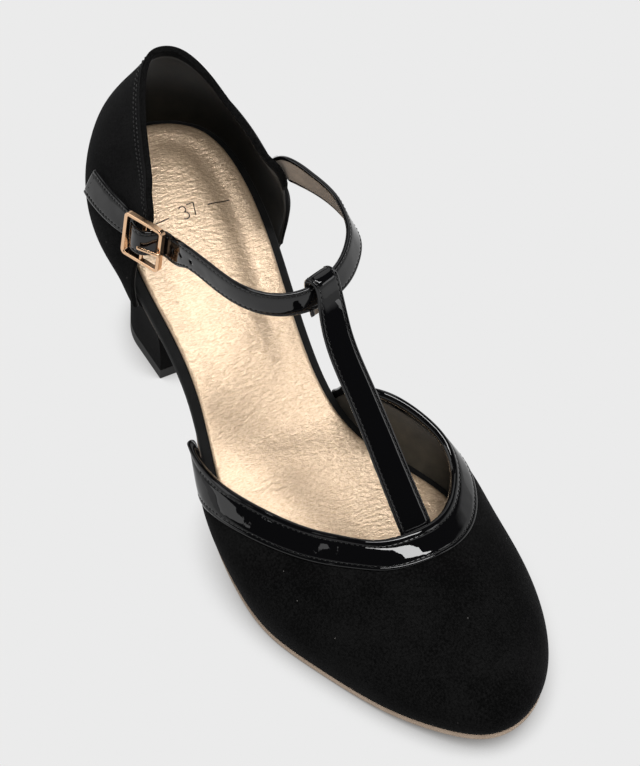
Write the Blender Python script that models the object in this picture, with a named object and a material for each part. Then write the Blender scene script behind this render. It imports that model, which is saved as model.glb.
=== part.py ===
"""T-strap shoe, right foot, on a covered block heel: every piece is its own closed solid.

Metres, +Z up, the floor at z = 0. +X runs to the toe and +Y to the inner (medial) side.
The origin is the middle of the heel's foot on the floor. Inside this script the last is
laid out from the back of the heel seat, and SEAT_BACK shifts it to that origin.
"""

import bpy
import numpy as np

MM = 0.001

# Sizes of the last and the sole
LAST_LENGTH = 234 * MM
BALL_WIDTH = 75 * MM
HEEL_RISE = 51 * MM
TOE_SPRING = 5.2 * MM
SLOPE_END = 0.736
SLOPE_POWER = 1.19
SPRING_START = 0.80
OUTSOLE_THICK = 2.7 * MM
BOARD_THICK = 4.0 * MM
SOCK_THICK = 1.3 * MM
SOCK_CROWN = 1.0 * MM
SOCK_MARGIN = 3.0 * MM
GAP = 0.3 * MM

# Sizes of the heel
FOOT_REAR = 20 * MM
FOOT_FRONT = 56.5 * MM
FOOT_HALF_WIDTH = 19.2 * MM
BREAST = 57 * MM
HEEL_WAIST_POWER = 2.6
TOP_PIECE = 4.0 * MM
SEAT_BACK = -0.5 * (FOOT_REAR + FOOT_FRONT)

# Sizes of the upper
UPPER_WALL = 2.0 * MM
FEATHER_OFFSET = GAP + UPPER_WALL + 0.2 * MM
COUNTER_HEIGHT = 40 * MM
BULGE_LOW, BULGE_HIGH = 1.15, 2.0
LEAN_POWER = 1.15
THROAT_HEIGHT = 30 * MM
BINDING_WIDTH = 10.2 * MM
BINDING_SINK = 1.0 * MM
BINDING_PROUD = 0.4 * MM
VAMP_COUNT = 55

# Sizes of the straps and the buckle
STRAP_WIDTH = 9.0 * MM
STRAP_THICK = 1.7 * MM
LOOP_SLACK = 0.5 * MM
TAB_THICK = 1.5 * MM
FRAME_LENGTH = 15.8 * MM
FRAME_WIDTH = 16.4 * MM
BAR = 1.7 * MM
PIN = 1.3 * MM

# The bottom outline of the last: how far each side is from the middle line,
# as shares of the ball width, at a share of the last length from the back.
OUTLINE_COLUMNS = ("along", "medial", "lateral")
OUTLINE = (
    (0.00, 0.000, 0.000),
    (0.04, 0.250, 0.190),
    (0.12, 0.317, 0.320),
    (0.25, 0.284, 0.387),
    (0.40, 0.212, 0.388),
    (0.52, 0.263, 0.470),
    (0.63, 0.480, 0.504),
    (0.71, 0.510, 0.482),
    (0.80, 0.495, 0.383),
    (0.89, 0.425, 0.258),
    (0.96, 0.295, 0.118),
    (1.00, 0.065, -0.065),
)

# The counter's top edge from the front of the lateral wing round the back to the front
# of the medial wing. "turn" is the place on the outline in degrees, 0 at the back and 180
# at the toe, negative on the lateral side. "along" is a share of the last length,
# "across" of the ball width and "up" of the counter height above the board there.
# "bulge" and "sweep" are how far the wall swells outward and bows back below that edge,
# as shares of the ball width.
COUNTER_COLUMNS = ("turn", "along", "across", "up", "bulge", "sweep")
COUNTER = (
    (-61.0, 0.268, -0.368, 0.900, 0.010, 0.032),
    (-59.8, 0.262, -0.362, 0.970, 0.018, 0.028),
    (-58.0, 0.248, -0.347, 0.995, 0.036, 0.020),
    (-54.5, 0.229, -0.316, 0.988, 0.072, 0.010),
    (-48.0, 0.186, -0.256, 0.930, 0.102, 0.003),
    (-39.0, 0.126, -0.178, 0.905, 0.106, 0.000),
    (-25.0, 0.064, -0.078, 0.955, 0.090, 0.000),
    (0.0, 0.035, 0.056, 1.008, 0.077, 0.000),
    (17.0, 0.052, 0.158, 0.952, 0.071, 0.000),
    (31.0, 0.100, 0.208, 0.885, 0.068, 0.000),
    (42.0, 0.150, 0.220, 0.880, 0.068, 0.000),
    (50.0, 0.205, 0.236, 0.888, 0.062, 0.000),
    (55.0, 0.243, 0.250, 0.895, 0.062, 0.004),
    (57.8, 0.264, 0.270, 0.890, 0.048, 0.014),
    (59.2, 0.270, 0.284, 0.790, 0.032, 0.022),
)

# The vamp's top edge from its medial end over the throat to its lateral end.
# "up" is a share of the throat height above the board there, "full" says how much the
# wall swells outward low down, as a share of the ball width, and "steep" how much of
# its drop it takes before it turns outward at the top.
VAMP_COLUMNS = ("turn", "along", "across", "up", "full", "steep")
VAMP = (
    (85.0, 0.454, 0.243, -0.045, 0.00, 0.20),
    (86.5, 0.472, 0.232, 0.240, 0.01, 0.20),
    (89.0, 0.511, 0.246, 0.640, 0.03, 0.20),
    (93.0, 0.551, 0.316, 0.880, 0.04, 0.20),
    (99.0, 0.603, 0.409, 0.925, 0.05, 0.20),
    (107.0, 0.651, 0.428, 0.915, 0.052, 0.22),
    (120.0, 0.702, 0.352, 0.915, 0.065, 0.30),
    (140.0, 0.739, 0.225, 0.955, 0.075, 0.38),
    (168.0, 0.750, 0.075, 0.985, 0.07, 0.44),
    (196.0, 0.740, -0.080, 0.965, 0.05, 0.44),
    (220.0, 0.704, -0.193, 0.885, 0.05, 0.38),
    (238.0, 0.656, -0.300, 0.750, 0.060, 0.32),
    (251.0, 0.595, -0.410, 0.600, 0.066, 0.25),
    (261.0, 0.538, -0.472, 0.390, 0.066, 0.20),
    (269.0, 0.486, -0.475, 0.118, 0.028, 0.20),
    (274.0, 0.450, -0.468, -0.045, 0.000, 0.20),
)

# The middle line of the T-strap from under the throat to the ankle strap. "along" is a
# share of the last length, "across" and "width" of the ball width, and "height" of the
# height of the counter's top over the floor.
TOP_LINE = HEEL_RISE + COUNTER_HEIGHT
T_STRAP_COLUMNS = ("along", "across", "height", "width")
T_STRAP = (
    (0.7863, 0.1187, 0.2769, 0.146),
    (0.7650, 0.1173, 0.3099, 0.146),
    (0.7436, 0.1133, 0.3560, 0.144),
    (0.6838, 0.0960, 0.5033, 0.138),
    (0.5983, 0.0680, 0.7209, 0.130),
    (0.5385, 0.0560, 0.8703, 0.126),
)

# The middle line of the ankle strap after it leaves the medial wing, up to the buckle, in
# the same shares, and how far its lower edge flares out, in degrees from upright.
ANKLE_COLUMNS = ("along", "across", "height", "flare")
ANKLE = (
    (0.2675, 0.2960, 0.9165, 0),
    (0.3034, 0.3340, 0.9275, 5),
    (0.3333, 0.3570, 0.9330, 11),
    (0.3675, 0.3650, 0.9385, 17),
    (0.3966, 0.3540, 0.9440, 25),
    (0.4222, 0.3310, 0.9486, 29),
    (0.4487, 0.2780, 0.9505, 28),
    (0.4752, 0.1920, 0.9505, 25),
    (0.4944, 0.0653, 0.9505, 17),
    (0.4979, -0.0533, 0.9505, 8),
    (0.4838, -0.1627, 0.9495, 3),
    (0.4496, -0.2480, 0.9473, 1),
    (0.3889, -0.3053, 0.9407, 0),
    (0.3483, -0.3333, 0.9253, 0),
)
LOOP_ROW = 8

# Where the ankle strap is sewn along the medial wing: the turn and the share of the
# wall's height.
SEAM = ((51.6, 0.50), (53.6, 0.645), (55.8, 0.81))
SEAM_LIFT = 0.3 * MM

# Where the buckle tab lies on the counter: the turn and the share of the wall's height.
# Its ends are cut square to it, so its lower edge lies forward by the skew in degrees.
TAB_REAR_TURN = -42.0
TAB_FRONT_TURN = -58.2
TAB_REAR_UP = 0.455
TAB_FRONT_UP = 0.695
TAB_SKEW = 1.0
TAB_HALF_WIDTH = 4.3 * MM

# Where the buckle's rear bar crosses the tab, and how the frame lies in space.
REAR_BAR_TURN = -58.8
REAR_BAR_UP = 0.715
BUCKLE_LIFT = 1.3 * MM
STRAP_CLIMB = 1.8 * MM
STRAP_LEAD = 2.4 * MM
STRAP_TIP = 4.6 * MM
PRONG = 1.3 * MM
FRAME_CORNER = 1.2 * MM
FRAME_FORWARD = (0.93, 0.36, -0.02)
FRAME_UP = (-0.10, 0.15, 0.98)


def spline(knots, values, at):
    """A natural cubic spline through the knots, worked out at each place in `at`."""
    knots = np.asarray(knots, float)
    values = np.asarray(values, float)
    at = np.asarray(at, float)
    step = np.diff(knots)
    slope = np.diff(values) / step
    count = len(knots)
    matrix = np.eye(count)
    target = np.zeros(count)
    for i in range(1, count - 1):
        matrix[i, i - 1 : i + 2] = step[i - 1], 2 * (step[i - 1] + step[i]), step[i]
        target[i] = 6 * (slope[i] - slope[i - 1])
    bend = np.linalg.solve(matrix, target)
    piece = np.clip(np.searchsorted(knots, at, side="right") - 1, 0, count - 2)
    width = step[piece]
    right = (at - knots[piece]) / width
    left = 1 - right
    curve = (left**3 - left) * bend[piece] + (right**3 - right) * bend[piece + 1]
    return left * values[piece] + right * values[piece + 1] + curve * width**2 / 6


def column(table, names, name):
    return np.array([row[names.index(name)] for row in table], float)


def unit(vectors):
    return vectors / np.linalg.norm(vectors, axis=-1, keepdims=True)


def outline_side(turn):
    """Distance from the middle line, medial positive, at a turn of 0 to 360 degrees."""
    along = column(OUTLINE, OUTLINE_COLUMNS, "along")
    medial = column(OUTLINE, OUTLINE_COLUMNS, "medial")
    lateral = column(OUTLINE, OUTLINE_COLUMNS, "lateral")
    knots = np.degrees(np.arccos(1 - 2 * along))
    turns = np.concatenate([knots, 360 - knots[-2:0:-1]])
    sides = np.concatenate([medial, -lateral[-2:0:-1]])
    wrap = 4
    turns = np.concatenate([turns[-wrap:] - 360, turns, turns[:wrap] + 360])
    sides = np.concatenate([sides[-wrap:], sides, sides[:wrap]])
    return BALL_WIDTH * spline(turns, sides, np.mod(turn, 360))


def outline(turn, grow=0.0):
    """Points of the last's bottom outline, moved outward by `grow`, and outward normals."""
    turn = np.asarray(turn, float)

    def point(at):
        along = 0.5 * LAST_LENGTH * (1 - np.cos(np.radians(at)))
        return np.stack([along, outline_side(at)], -1)

    nudge = 0.2
    tangent = unit(point(turn + nudge) - point(turn - nudge))
    normal = np.stack([-tangent[..., 1], tangent[..., 0]], -1)
    return point(turn) + normal * np.asarray(grow)[..., None], normal


def rise(along):
    """Height of the sole's underside: the seat, the slope of the shank and the toe spring."""
    share = np.clip(np.asarray(along) / LAST_LENGTH, 0, 1.1)
    down = np.clip(share / SLOPE_END, 0, 1) ** SLOPE_POWER
    spring = np.clip((share - SPRING_START) / (1 - SPRING_START), 0, None) ** 2
    return 0.5 * HEEL_RISE * (1 + np.cos(np.pi * down)) + TOE_SPRING * spring


BOARD_LEVEL = OUTSOLE_THICK + GAP
BOARD_TOP = BOARD_LEVEL + BOARD_THICK
SOCK_LEVEL = BOARD_TOP + GAP


def raised(plan, level):
    """Points above the sole's underside: plan positions with a height over rise()."""
    return np.concatenate([plan, (rise(plan[..., 0]) + level)[..., None]], -1)


def spread(start, end, count, pull=1.0):
    """Evenly spaced places from start to end. A pull over 1 crowds them to both ends."""
    share = np.linspace(0, 1, count)
    eased = 0.5 * (1 - np.cos(np.pi * share))
    return start + (end - start) * ((2 - pull) * share + (pull - 1) * eased)


def material(name, colour, roughness, metallic=0.0):
    made = bpy.data.materials.new(name)
    made.use_nodes = True
    shader = made.node_tree.nodes["Principled BSDF"]
    shader.inputs["Base Color"].default_value = (*colour, 1)
    shader.inputs["Roughness"].default_value = roughness
    shader.inputs["Metallic"].default_value = metallic
    return made


def add_object(name, points, faces, look, smooth=True):
    """One mesh object, with points in the last's layout, merged and facing out."""
    shifted = np.asarray(points, float).reshape(-1, 3) + (SEAT_BACK, 0, 0)
    mesh = bpy.data.meshes.new(name)
    mesh.from_pydata(shifted.tolist(), [], faces)
    made = bpy.data.objects.new(name, mesh)
    bpy.context.scene.collection.objects.link(made)
    bpy.context.view_layer.objects.active = made
    made.select_set(True)
    bpy.ops.object.mode_set(mode="EDIT")
    bpy.ops.mesh.select_all(action="SELECT")
    bpy.ops.mesh.remove_doubles(threshold=2e-6)
    bpy.ops.mesh.select_all(action="SELECT")
    bpy.ops.mesh.quads_convert_to_tris(quad_method="SHORTEST_DIAGONAL")
    bpy.ops.mesh.normals_make_consistent(inside=False)
    bpy.ops.object.mode_set(mode="OBJECT")
    made.select_set(False)
    mesh.materials.append(look)
    mesh.shade_smooth() if smooth else mesh.shade_flat()
    return made


def grid_faces(rows, columns, first=0, flip=False):
    """Quads of a grid of points that is stored row by row from index `first`."""
    faces = []
    for i in range(rows - 1):
        for j in range(columns - 1):
            a = first + i * columns + j
            quad = [a, a + 1, a + columns + 1, a + columns]
            faces.append(quad[::-1] if flip else quad)
    return faces


def shell(name, outer, inner, look):
    """A closed sheet between two grids of the same size, with its four edges walled."""
    rows, columns = outer.shape[:2]
    size = rows * columns
    faces = grid_faces(rows, columns) + grid_faces(rows, columns, size, flip=True)
    bottom = list(range(columns))
    top = [(rows - 1) * columns + j for j in range(columns)]
    left = [i * columns for i in range(rows)]
    right = [i * columns + columns - 1 for i in range(rows)]
    for edge, flip in ((bottom, True), (top, False), (left, False), (right, True)):
        for a, b in zip(edge, edge[1:]):
            quad = [a, b, b + size, a + size]
            faces.append(quad if flip else quad[::-1])
    points = np.concatenate([outer.reshape(-1, 3), inner.reshape(-1, 3)])
    return add_object(name, points, faces, look)


def grid_normals(grid, outward):
    """Unit normals of a grid of points, turned to the side where `outward` points."""
    normal = unit(np.cross(np.gradient(grid, axis=0), np.gradient(grid, axis=1)))
    sign = np.sign(np.sum(normal * outward, -1, keepdims=True).mean())
    return normal * sign


def slab(name, levels, look, cap_rows=(0, 0), crown=0.0, smooth=True):
    """A solid between rails. Each level holds a medial and a lateral rail of points.

    The side walls join one level to the next. The caps run straight across from rail to
    rail, with cap_rows points between them, and `crown` lifts the middle of the top cap.
    """
    points = []
    faces = []

    def store(rail):
        start = len(points)
        points.extend(rail)
        return list(range(start, start + len(rail)))

    rings = []
    for medial, lateral in levels:
        rings.append(store(medial) + store(lateral)[::-1])
    for low, high in zip(rings, rings[1:]):
        for i in range(len(low)):
            j = (i + 1) % len(low)
            faces.append([low[i], low[j], high[j], high[i]])
    for (medial, lateral), ring, rows, lift in (
        (levels[0], rings[0], cap_rows[0], 0.0),
        (levels[-1], rings[-1], cap_rows[1], crown),
    ):
        count = len(medial)
        lines = [ring[:count]]
        for share in np.linspace(0, 1, rows + 2)[1:-1]:
            line = medial + (lateral - medial) * share
            gap = np.linalg.norm(lateral - medial, axis=1)
            hump = np.clip(gap / BALL_WIDTH * 2, 0, 1) * (1 - (2 * share - 1) ** 2)
            line = line + np.outer(lift * hump, (0, 0, 1))
            lines.append(store(line))
        lines.append(ring[count:][::-1])
        for first, second in zip(lines, lines[1:]):
            for i in range(count - 1):
                faces.append([first[i], first[i + 1], second[i + 1], second[i]])
    return add_object(name, points, faces, look, smooth)


def rails(start, end, count, grow, level, pull=1.5):
    """The medial and the lateral rail of the outline between two turns."""
    turns = spread(start, end, count, pull)
    medial, _ = outline(turns, grow(turns) if callable(grow) else grow)
    lateral, _ = outline(360 - turns, grow(360 - turns) if callable(grow) else grow)
    return raised(medial, level), raised(lateral, level)


def turn_at(along):
    """The turn at which the outline reaches a distance from the back."""
    return np.degrees(np.arccos(1 - 2 * along / LAST_LENGTH))


def sole_edge(turn):
    """How far the outsole stands out past the board: tucked at the waist, out at the vamp."""
    side = np.minimum(np.mod(turn, 360), 360 - np.mod(turn, 360))
    blend = np.clip((side - 78) / 18, 0, 1)
    return -1.0 * MM + (FEATHER_OFFSET + 1.0 * MM) * blend**2 * (3 - 2 * blend)


def outsole(look):
    start = turn_at(BREAST + GAP + 1.0 * MM)
    levels = []
    for inset, level in ((0.5, 0.0), (0.0, 0.3), (0.0, 0.8), (0.5, 1.0)):

        def grow(turn, inset=inset):
            return sole_edge(turn) - inset * OUTSOLE_THICK

        levels.append(rails(start, 180, 44, grow, level * OUTSOLE_THICK))
    return slab("outsole", levels, look)


def insole_board(look):
    levels = []
    for inset, level in ((0.25, 0.0), (0.0, 0.25), (0.0, 0.8), (0.2, 1.0)):
        height = BOARD_LEVEL + level * BOARD_THICK
        levels.append(rails(0, 180, 44, -inset * BOARD_THICK, height))
    return slab("insole_board", levels, look)


def insole_sock(look):
    levels = []
    for inset, level in ((0.0, 0.0), (0.0, 0.55), (0.6, 1.0)):
        grow = -SOCK_MARGIN - inset * SOCK_THICK
        levels.append(rails(0, 180, 40, grow, SOCK_LEVEL + level * SOCK_THICK))
    return slab("insole_sock", levels, look, cap_rows=(0, 3), crown=SOCK_CROWN)


def foot_rail(count, side, height):
    """Half the outline of the heel's foot: rounded behind and straight to the breast."""
    share = np.linspace(0, 1, count) ** 1.3
    round_part = 0.55
    reach = np.clip(share / round_part, 0, 1)
    across = side * FOOT_HALF_WIDTH * np.sqrt(1 - (1 - reach) ** 2)
    along = FOOT_REAR + (FOOT_FRONT - FOOT_REAR) * share
    return np.stack([along, across, np.full(count, height)], -1)


def heel_block(look):
    """From the seat's outline, drawn in to the foot with a waisted side."""
    count = 22
    top = rails(0, turn_at(BREAST), count, FEATHER_OFFSET - GAP, OUTSOLE_THICK, 1.0)
    foot = TOP_PIECE + GAP
    levels = []
    for drop in (1.0, 0.92, 0.84, 0.74, 0.62, 0.48, 0.34, 0.18, 0.0):
        pair = []
        for rail, side in zip(top, (1, -1)):
            low = foot_rail(count, side, foot)
            plan = low[:, :2] + (rail[:, :2] - low[:, :2]) * drop**HEEL_WAIST_POWER
            height = foot + (rail[:, 2:] - foot) * drop
            pair.append(np.concatenate([plan, height], 1))
        levels.append(pair)
    return slab("heel_block", levels[::-1], look)


def heel_top_piece(look):
    count = 22
    levels = []
    for height in (0.0, TOP_PIECE):
        levels.append([foot_rail(count, side, height) for side in (1, -1)])
    return slab("heel_top_piece", levels, look, smooth=False)


def hump(share, low, high):
    """0 at both ends of the share and 1 at its peak, which is nearer the smaller power."""
    peak = low / (low + high)
    return share**low * (1 - share) ** high / (peak**low * (1 - peak) ** high)


def counter_wall(turn, up):
    """Outer face of the counter at a turn and a share of the wall's height, as arrays."""
    turns = column(COUNTER, COUNTER_COLUMNS, "turn")
    along = LAST_LENGTH * spline(turns, column(COUNTER, COUNTER_COLUMNS, "along"), turn)
    across = BALL_WIDTH * spline(turns, column(COUNTER, COUNTER_COLUMNS, "across"), turn)
    share = spline(turns, column(COUNTER, COUNTER_COLUMNS, "up"), turn)
    bulge = BALL_WIDTH * spline(turns, column(COUNTER, COUNTER_COLUMNS, "bulge"), turn)
    top = raised(np.stack([along, across], -1), BOARD_TOP)
    top[..., 2] += share * COUNTER_HEIGHT
    plan, normal = outline(turn, FEATHER_OFFSET)
    foot = raised(plan, BOARD_LEVEL)
    out = np.concatenate([normal, np.zeros_like(normal[..., :1])], -1)
    back = BALL_WIDTH * spline(turns, column(COUNTER, COUNTER_COLUMNS, "sweep"), turn)
    swell = hump(up, BULGE_LOW, BULGE_HIGH)
    bow = hump(up, 1, 2)
    lean = np.stack([up**LEAN_POWER, up**LEAN_POWER, up], -1)
    wall = foot + (top - foot) * lean + out * (bulge * swell)[..., None]
    wall[..., 0] -= back * bow
    return wall


def counter_grid(turns, ups):
    turn, up = np.meshgrid(turns, ups, indexing="ij")
    return counter_wall(turn, up)


def counter_turns(count):
    """Places round the counter, crowded where the wings turn down."""
    turns = column(COUNTER, COUNTER_COLUMNS, "turn")
    rows = np.linspace(0, len(turns) - 1, count)
    return np.interp(rows, np.arange(len(turns)), turns)


def outward_of(grid):
    """Rough outward directions: away from the middle line of the seat."""
    middle = np.array([0.16 * LAST_LENGTH, 0, 0])
    direction = grid - middle
    direction[..., 2] = 0
    return unit(direction)


def upper_counter(look):
    turns = counter_turns(50)
    ups = spread(0, 1, 12, 1.4)
    outer = counter_grid(turns, ups)
    normal = grid_normals(outer, outward_of(outer))
    inner = outer - normal * UPPER_WALL
    inner[:, 0] = raised(outline(turns, GAP)[0], BOARD_LEVEL)
    return shell("upper_counter", outer, inner, look)


def vamp_lines(turns, shares):
    """Outer face of the vamp: one curve from feather line to top edge at each turn."""
    table = column(VAMP, VAMP_COLUMNS, "turn")
    along = LAST_LENGTH * spline(table, column(VAMP, VAMP_COLUMNS, "along"), turns)
    across = BALL_WIDTH * spline(table, column(VAMP, VAMP_COLUMNS, "across"), turns)
    share = spline(table, column(VAMP, VAMP_COLUMNS, "up"), turns)
    full = BALL_WIDTH * spline(table, column(VAMP, VAMP_COLUMNS, "full"), turns)
    steep = spline(table, column(VAMP, VAMP_COLUMNS, "steep"), turns)
    top = raised(np.stack([along, across], -1), BOARD_TOP)
    top[:, 2] += share * THROAT_HEIGHT
    plan, normal = outline(turns, FEATHER_OFFSET)
    foot = raised(plan, BOARD_LEVEL)
    out = np.concatenate([normal, np.zeros((len(turns), 1))], 1)
    chord = foot - top
    flat = chord * (1, 1, 0)
    drop = -chord[:, 2:] * (0, 0, 1)
    low_handle = foot + out * full[:, None] + drop * 0.52
    high_handle = top + flat * 0.46 + out * (0.5 * full)[:, None] - drop * steep[:, None]
    t = shares[..., None]
    curve = foot[:, None] * (1 - t) ** 3 + 3 * low_handle[:, None] * t * (1 - t) ** 2
    return curve + 3 * high_handle[:, None] * t**2 * (1 - t) + top[:, None] * t**3


def vamp_turns(count):
    turns = column(VAMP, VAMP_COLUMNS, "turn")
    rows = np.linspace(0, len(turns) - 1, count)
    return np.interp(rows, np.arange(len(turns)), turns)


def binding_start(turns):
    """The share of each vamp line at which the binding begins, a strap's width from the top."""
    fine = np.tile(np.linspace(0, 1, 81), (len(turns), 1))
    lines = vamp_lines(turns, fine)
    steps = np.linalg.norm(np.diff(lines, axis=1), axis=2)
    to_top = np.cumsum(steps[:, ::-1], axis=1)[:, ::-1]
    found = []
    for distance, share in zip(to_top, fine):
        found.append(np.interp(-BINDING_WIDTH, -distance, share[:-1]))
    return np.clip(found, 0.05, 1)


def vamp_normals(turns, shares):
    lines = vamp_lines(turns, shares)
    above = vamp_lines(turns, np.clip(shares + 0.004, 0, 1))
    below = vamp_lines(turns, np.clip(shares - 0.004, 0, 1))
    later = vamp_lines(turns + 0.15, shares)
    sooner = vamp_lines(turns - 0.15, shares)
    return unit(np.cross(above - below, later - sooner)), lines


def upper_vamp(look):
    """The suede body. Its wall steps in along the top edge, where the binding lies."""
    turns = vamp_turns(VAMP_COUNT)
    start = binding_start(turns)[:, None]
    body = np.linspace(0, 1, 10)[None] * start
    edge = start + np.linspace(0, 1, 4)[None] * (1 - start)
    shares = np.concatenate([body, edge], 1)
    sink = np.concatenate([np.zeros_like(body), np.full_like(edge, BINDING_SINK)], 1)
    normal, lines = vamp_normals(turns, shares)
    outer = lines - normal * sink[..., None]
    inner = lines - normal * UPPER_WALL
    inner[:, 0] = raised(outline(turns, GAP)[0], BOARD_LEVEL)
    return shell("upper_vamp", outer, inner, look)


def vamp_binding(look):
    """The patent strip that fills the step and stands a little proud of the suede."""
    turns = vamp_turns(VAMP_COUNT)
    start = binding_start(turns)[:, None]
    reach = (1 - start) * GAP / BINDING_WIDTH
    shares = start + reach + np.linspace(0, 1, 4)[None] * (1 - start - reach)
    normal, lines = vamp_normals(turns, shares)
    outer = lines + normal * BINDING_PROUD
    return shell("vamp_binding", outer, lines - normal * (BINDING_SINK - GAP), look)


def resampled(path, spacing):
    """The same path with its points about `spacing` apart, and the places used."""
    path = np.asarray(path, float)
    steps = np.linalg.norm(np.diff(path[:, :3], axis=0), axis=1)
    reach = np.concatenate([[0], np.cumsum(steps)])
    places = np.linspace(0, reach[-1], int(round(reach[-1] / spacing)) + 1)
    values = [spline(reach, path[:, i], places) for i in range(path.shape[1])]
    return np.stack(values, 1)


def places(table):
    """The first three columns of a strap's table as points in metres."""
    return np.array([row[:3] for row in table]) * (LAST_LENGTH, BALL_WIDTH, TOP_LINE)


def ribbon(name, path, across, width, thick, look):
    """A strap with rounded edges along a path. `across` is its width direction.

    The width may be one value or one for each point of the path.
    """
    tangent = unit(np.gradient(path, axis=0))
    across = unit(across - tangent * np.sum(across * tangent, 1, keepdims=True))
    out = np.cross(tangent, across)
    half = 0.5 * np.broadcast_to(width, len(path))[:, None]
    rim = 0.3 * thick
    high, low = 0.5 * thick, 0.5 * thick - rim
    profile = (
        (-half, -low), (-half, low), (rim - half, high), (half - rim, high),
        (half, low), (half, -low), (half - rim, -high), (rim - half, -high),
    )
    rings = np.stack([path + across * a + out * b for a, b in profile], 1)
    count, sides = rings.shape[:2]
    faces = []
    for i in range(count - 1):
        for j in range(sides):
            k = (j + 1) % sides
            a, b = i * sides, (i + 1) * sides
            faces.append([a + j, a + k, b + k, b + j])
    faces.append(list(range(sides))[::-1])
    faces.append([(count - 1) * sides + j for j in range(sides)])
    return add_object(name, rings.reshape(-1, 3), faces, look)


def ankle_frame():
    """The ankle strap at the T-strap: its middle, direction, width and outward vectors."""
    before, centre, after = places(ANKLE)[LOOP_ROW - 1:LOOP_ROW + 2]
    along = unit((before - after) * (1, 1, 0))
    level = np.array([along[1], -along[0], 0])
    flare = np.radians(ANKLE[LOOP_ROW][3])
    across = np.array([0, 0, 1]) * np.cos(flare) - level * np.sin(flare)
    out = level * np.cos(flare) + np.array([0, 0, 1]) * np.sin(flare)
    return centre, along, across, out


def t_strap(look):
    """Up from under the throat, over the ankle strap, and down again behind it."""
    centre, along, across, out = ankle_frame()
    clear = STRAP_THICK + GAP + LOOP_SLACK
    half = 0.5 * STRAP_WIDTH
    widths = BALL_WIDTH * column(T_STRAP, T_STRAP_COLUMNS, "width")
    path = [(*point, 0.0, 1.0, 0.0, width) for point, width in zip(places(T_STRAP), widths)]
    loop = [centre + out * clear * 1.05 + across * half * 0.45]
    top_edge = centre + across * (half - 0.38 * clear)
    for angle in np.radians((0, 35, 70, 110, 145, 180)):
        loop.append(top_edge + clear * (out * np.cos(angle) + across * np.sin(angle)))
    loop.append(centre - out * clear - across * half * 0.4)
    loop.append(centre - out * clear - across * half * 1.6)
    path += [(*point, *along, widths[-1]) for point in loop]
    fine = resampled(path, 2.4 * MM)
    return ribbon("t_strap", fine[:, :3], fine[:, 3:6], fine[:, 6], STRAP_THICK, look)


def buckle_axes():
    """Middle of the rear bar, and the frame's directions: forward, up and outward."""
    turns = np.array([REAR_BAR_TURN, REAR_BAR_TURN - 1.0])
    wall = counter_grid(turns, np.array([REAR_BAR_UP - 0.05, REAR_BAR_UP + 0.05]))
    normal = grid_normals(wall, outward_of(wall))[0].mean(0)
    upward = unit(np.array(FRAME_UP))
    forward = np.array(FRAME_FORWARD)
    forward = unit(forward - upward * (forward @ upward))
    outward = np.cross(forward, upward)
    rear = wall[0].mean(0) + normal * (GAP + TAB_THICK + GAP + 0.5 * BAR + BUCKLE_LIFT)
    return rear, forward, upward, outward


def strap_in_buckle():
    """The ankle strap's last points: under the front bar, over the pin, and its tip."""
    rear, forward, upward, outward = buckle_axes()
    front = rear + forward * (FRAME_LENGTH - BAR)
    pin = rear + forward * 0.5 * (FRAME_LENGTH - BAR)
    under = 0.5 * BAR + GAP + 0.5 * STRAP_THICK
    over = 0.5 * PIN + GAP + 0.5 * STRAP_THICK
    climb = upward * STRAP_CLIMB
    return [
        front - outward * under + forward * STRAP_LEAD + climb,
        front - outward * (under + 0.2 * MM) - forward * 0.9 * MM + climb,
        pin + outward * over + forward * 0.9 * MM + climb * 0.5,
        pin + outward * over - forward * 1.2 * MM + climb * 0.4,
        pin - outward * 0.2 * MM - forward * STRAP_TIP,
    ]


def ankle_strap(look):
    """From its seam on the medial wing, round the front, to the buckle."""
    turns = np.array([row[0] for row in SEAM])
    ups = np.array([row[1] for row in SEAM])
    near = np.array([-0.04, 0.0, 0.04])
    grid = counter_wall(np.repeat(turns[:, None], 3, 1), ups[:, None] + near)
    normal = grid_normals(grid, outward_of(grid))
    seam = grid[:, 1] + normal[:, 1] * (GAP + 0.5 * STRAP_THICK + SEAM_LIFT)
    rise_of_wall = unit(grid[:, 2] - grid[:, 0])
    path = list(seam)
    across = list(rise_of_wall)
    rows = places(ANKLE)
    tangents = unit(np.gradient(rows, axis=0))
    for row, point, tangent in zip(ANKLE, rows, tangents):
        flare = np.radians(row[3])
        outward = unit(np.array([-tangent[1], tangent[0], 0.0]))
        path.append(point)
        across.append(np.array([0, 0, np.cos(flare)]) - outward * np.sin(flare))
    _, _, upward, _ = buckle_axes()
    for point in strap_in_buckle():
        path.append(point)
        across.append(upward)
    both = np.concatenate([np.array(path), np.array(across)], 1)
    fine = resampled(both, 2.3 * MM)
    return ribbon("ankle_strap", fine[:, :3], fine[:, 3:], STRAP_WIDTH, STRAP_THICK, look)


def buckle_tab(look):
    """The patent tab sewn on the lateral wing, following the wall under it."""
    count, rows = 15, 5
    turns = np.linspace(TAB_REAR_TURN, TAB_FRONT_TURN, count)
    middle = np.linspace(TAB_REAR_UP, TAB_FRONT_UP, count)
    foot = counter_wall(turns, np.zeros(count))
    top = counter_wall(turns, np.ones(count))
    reach = TAB_HALF_WIDTH / np.linalg.norm(top - foot, axis=1)
    sides = np.linspace(-1, 1, rows)
    turn = turns[:, None] + TAB_SKEW * sides[None]
    up = middle[:, None] + reach[:, None] * sides[None]
    wall = counter_wall(turn, up)
    normal = grid_normals(wall, outward_of(wall))
    return shell("buckle_tab", wall + normal * (GAP + TAB_THICK), wall + normal * GAP, look)


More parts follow.
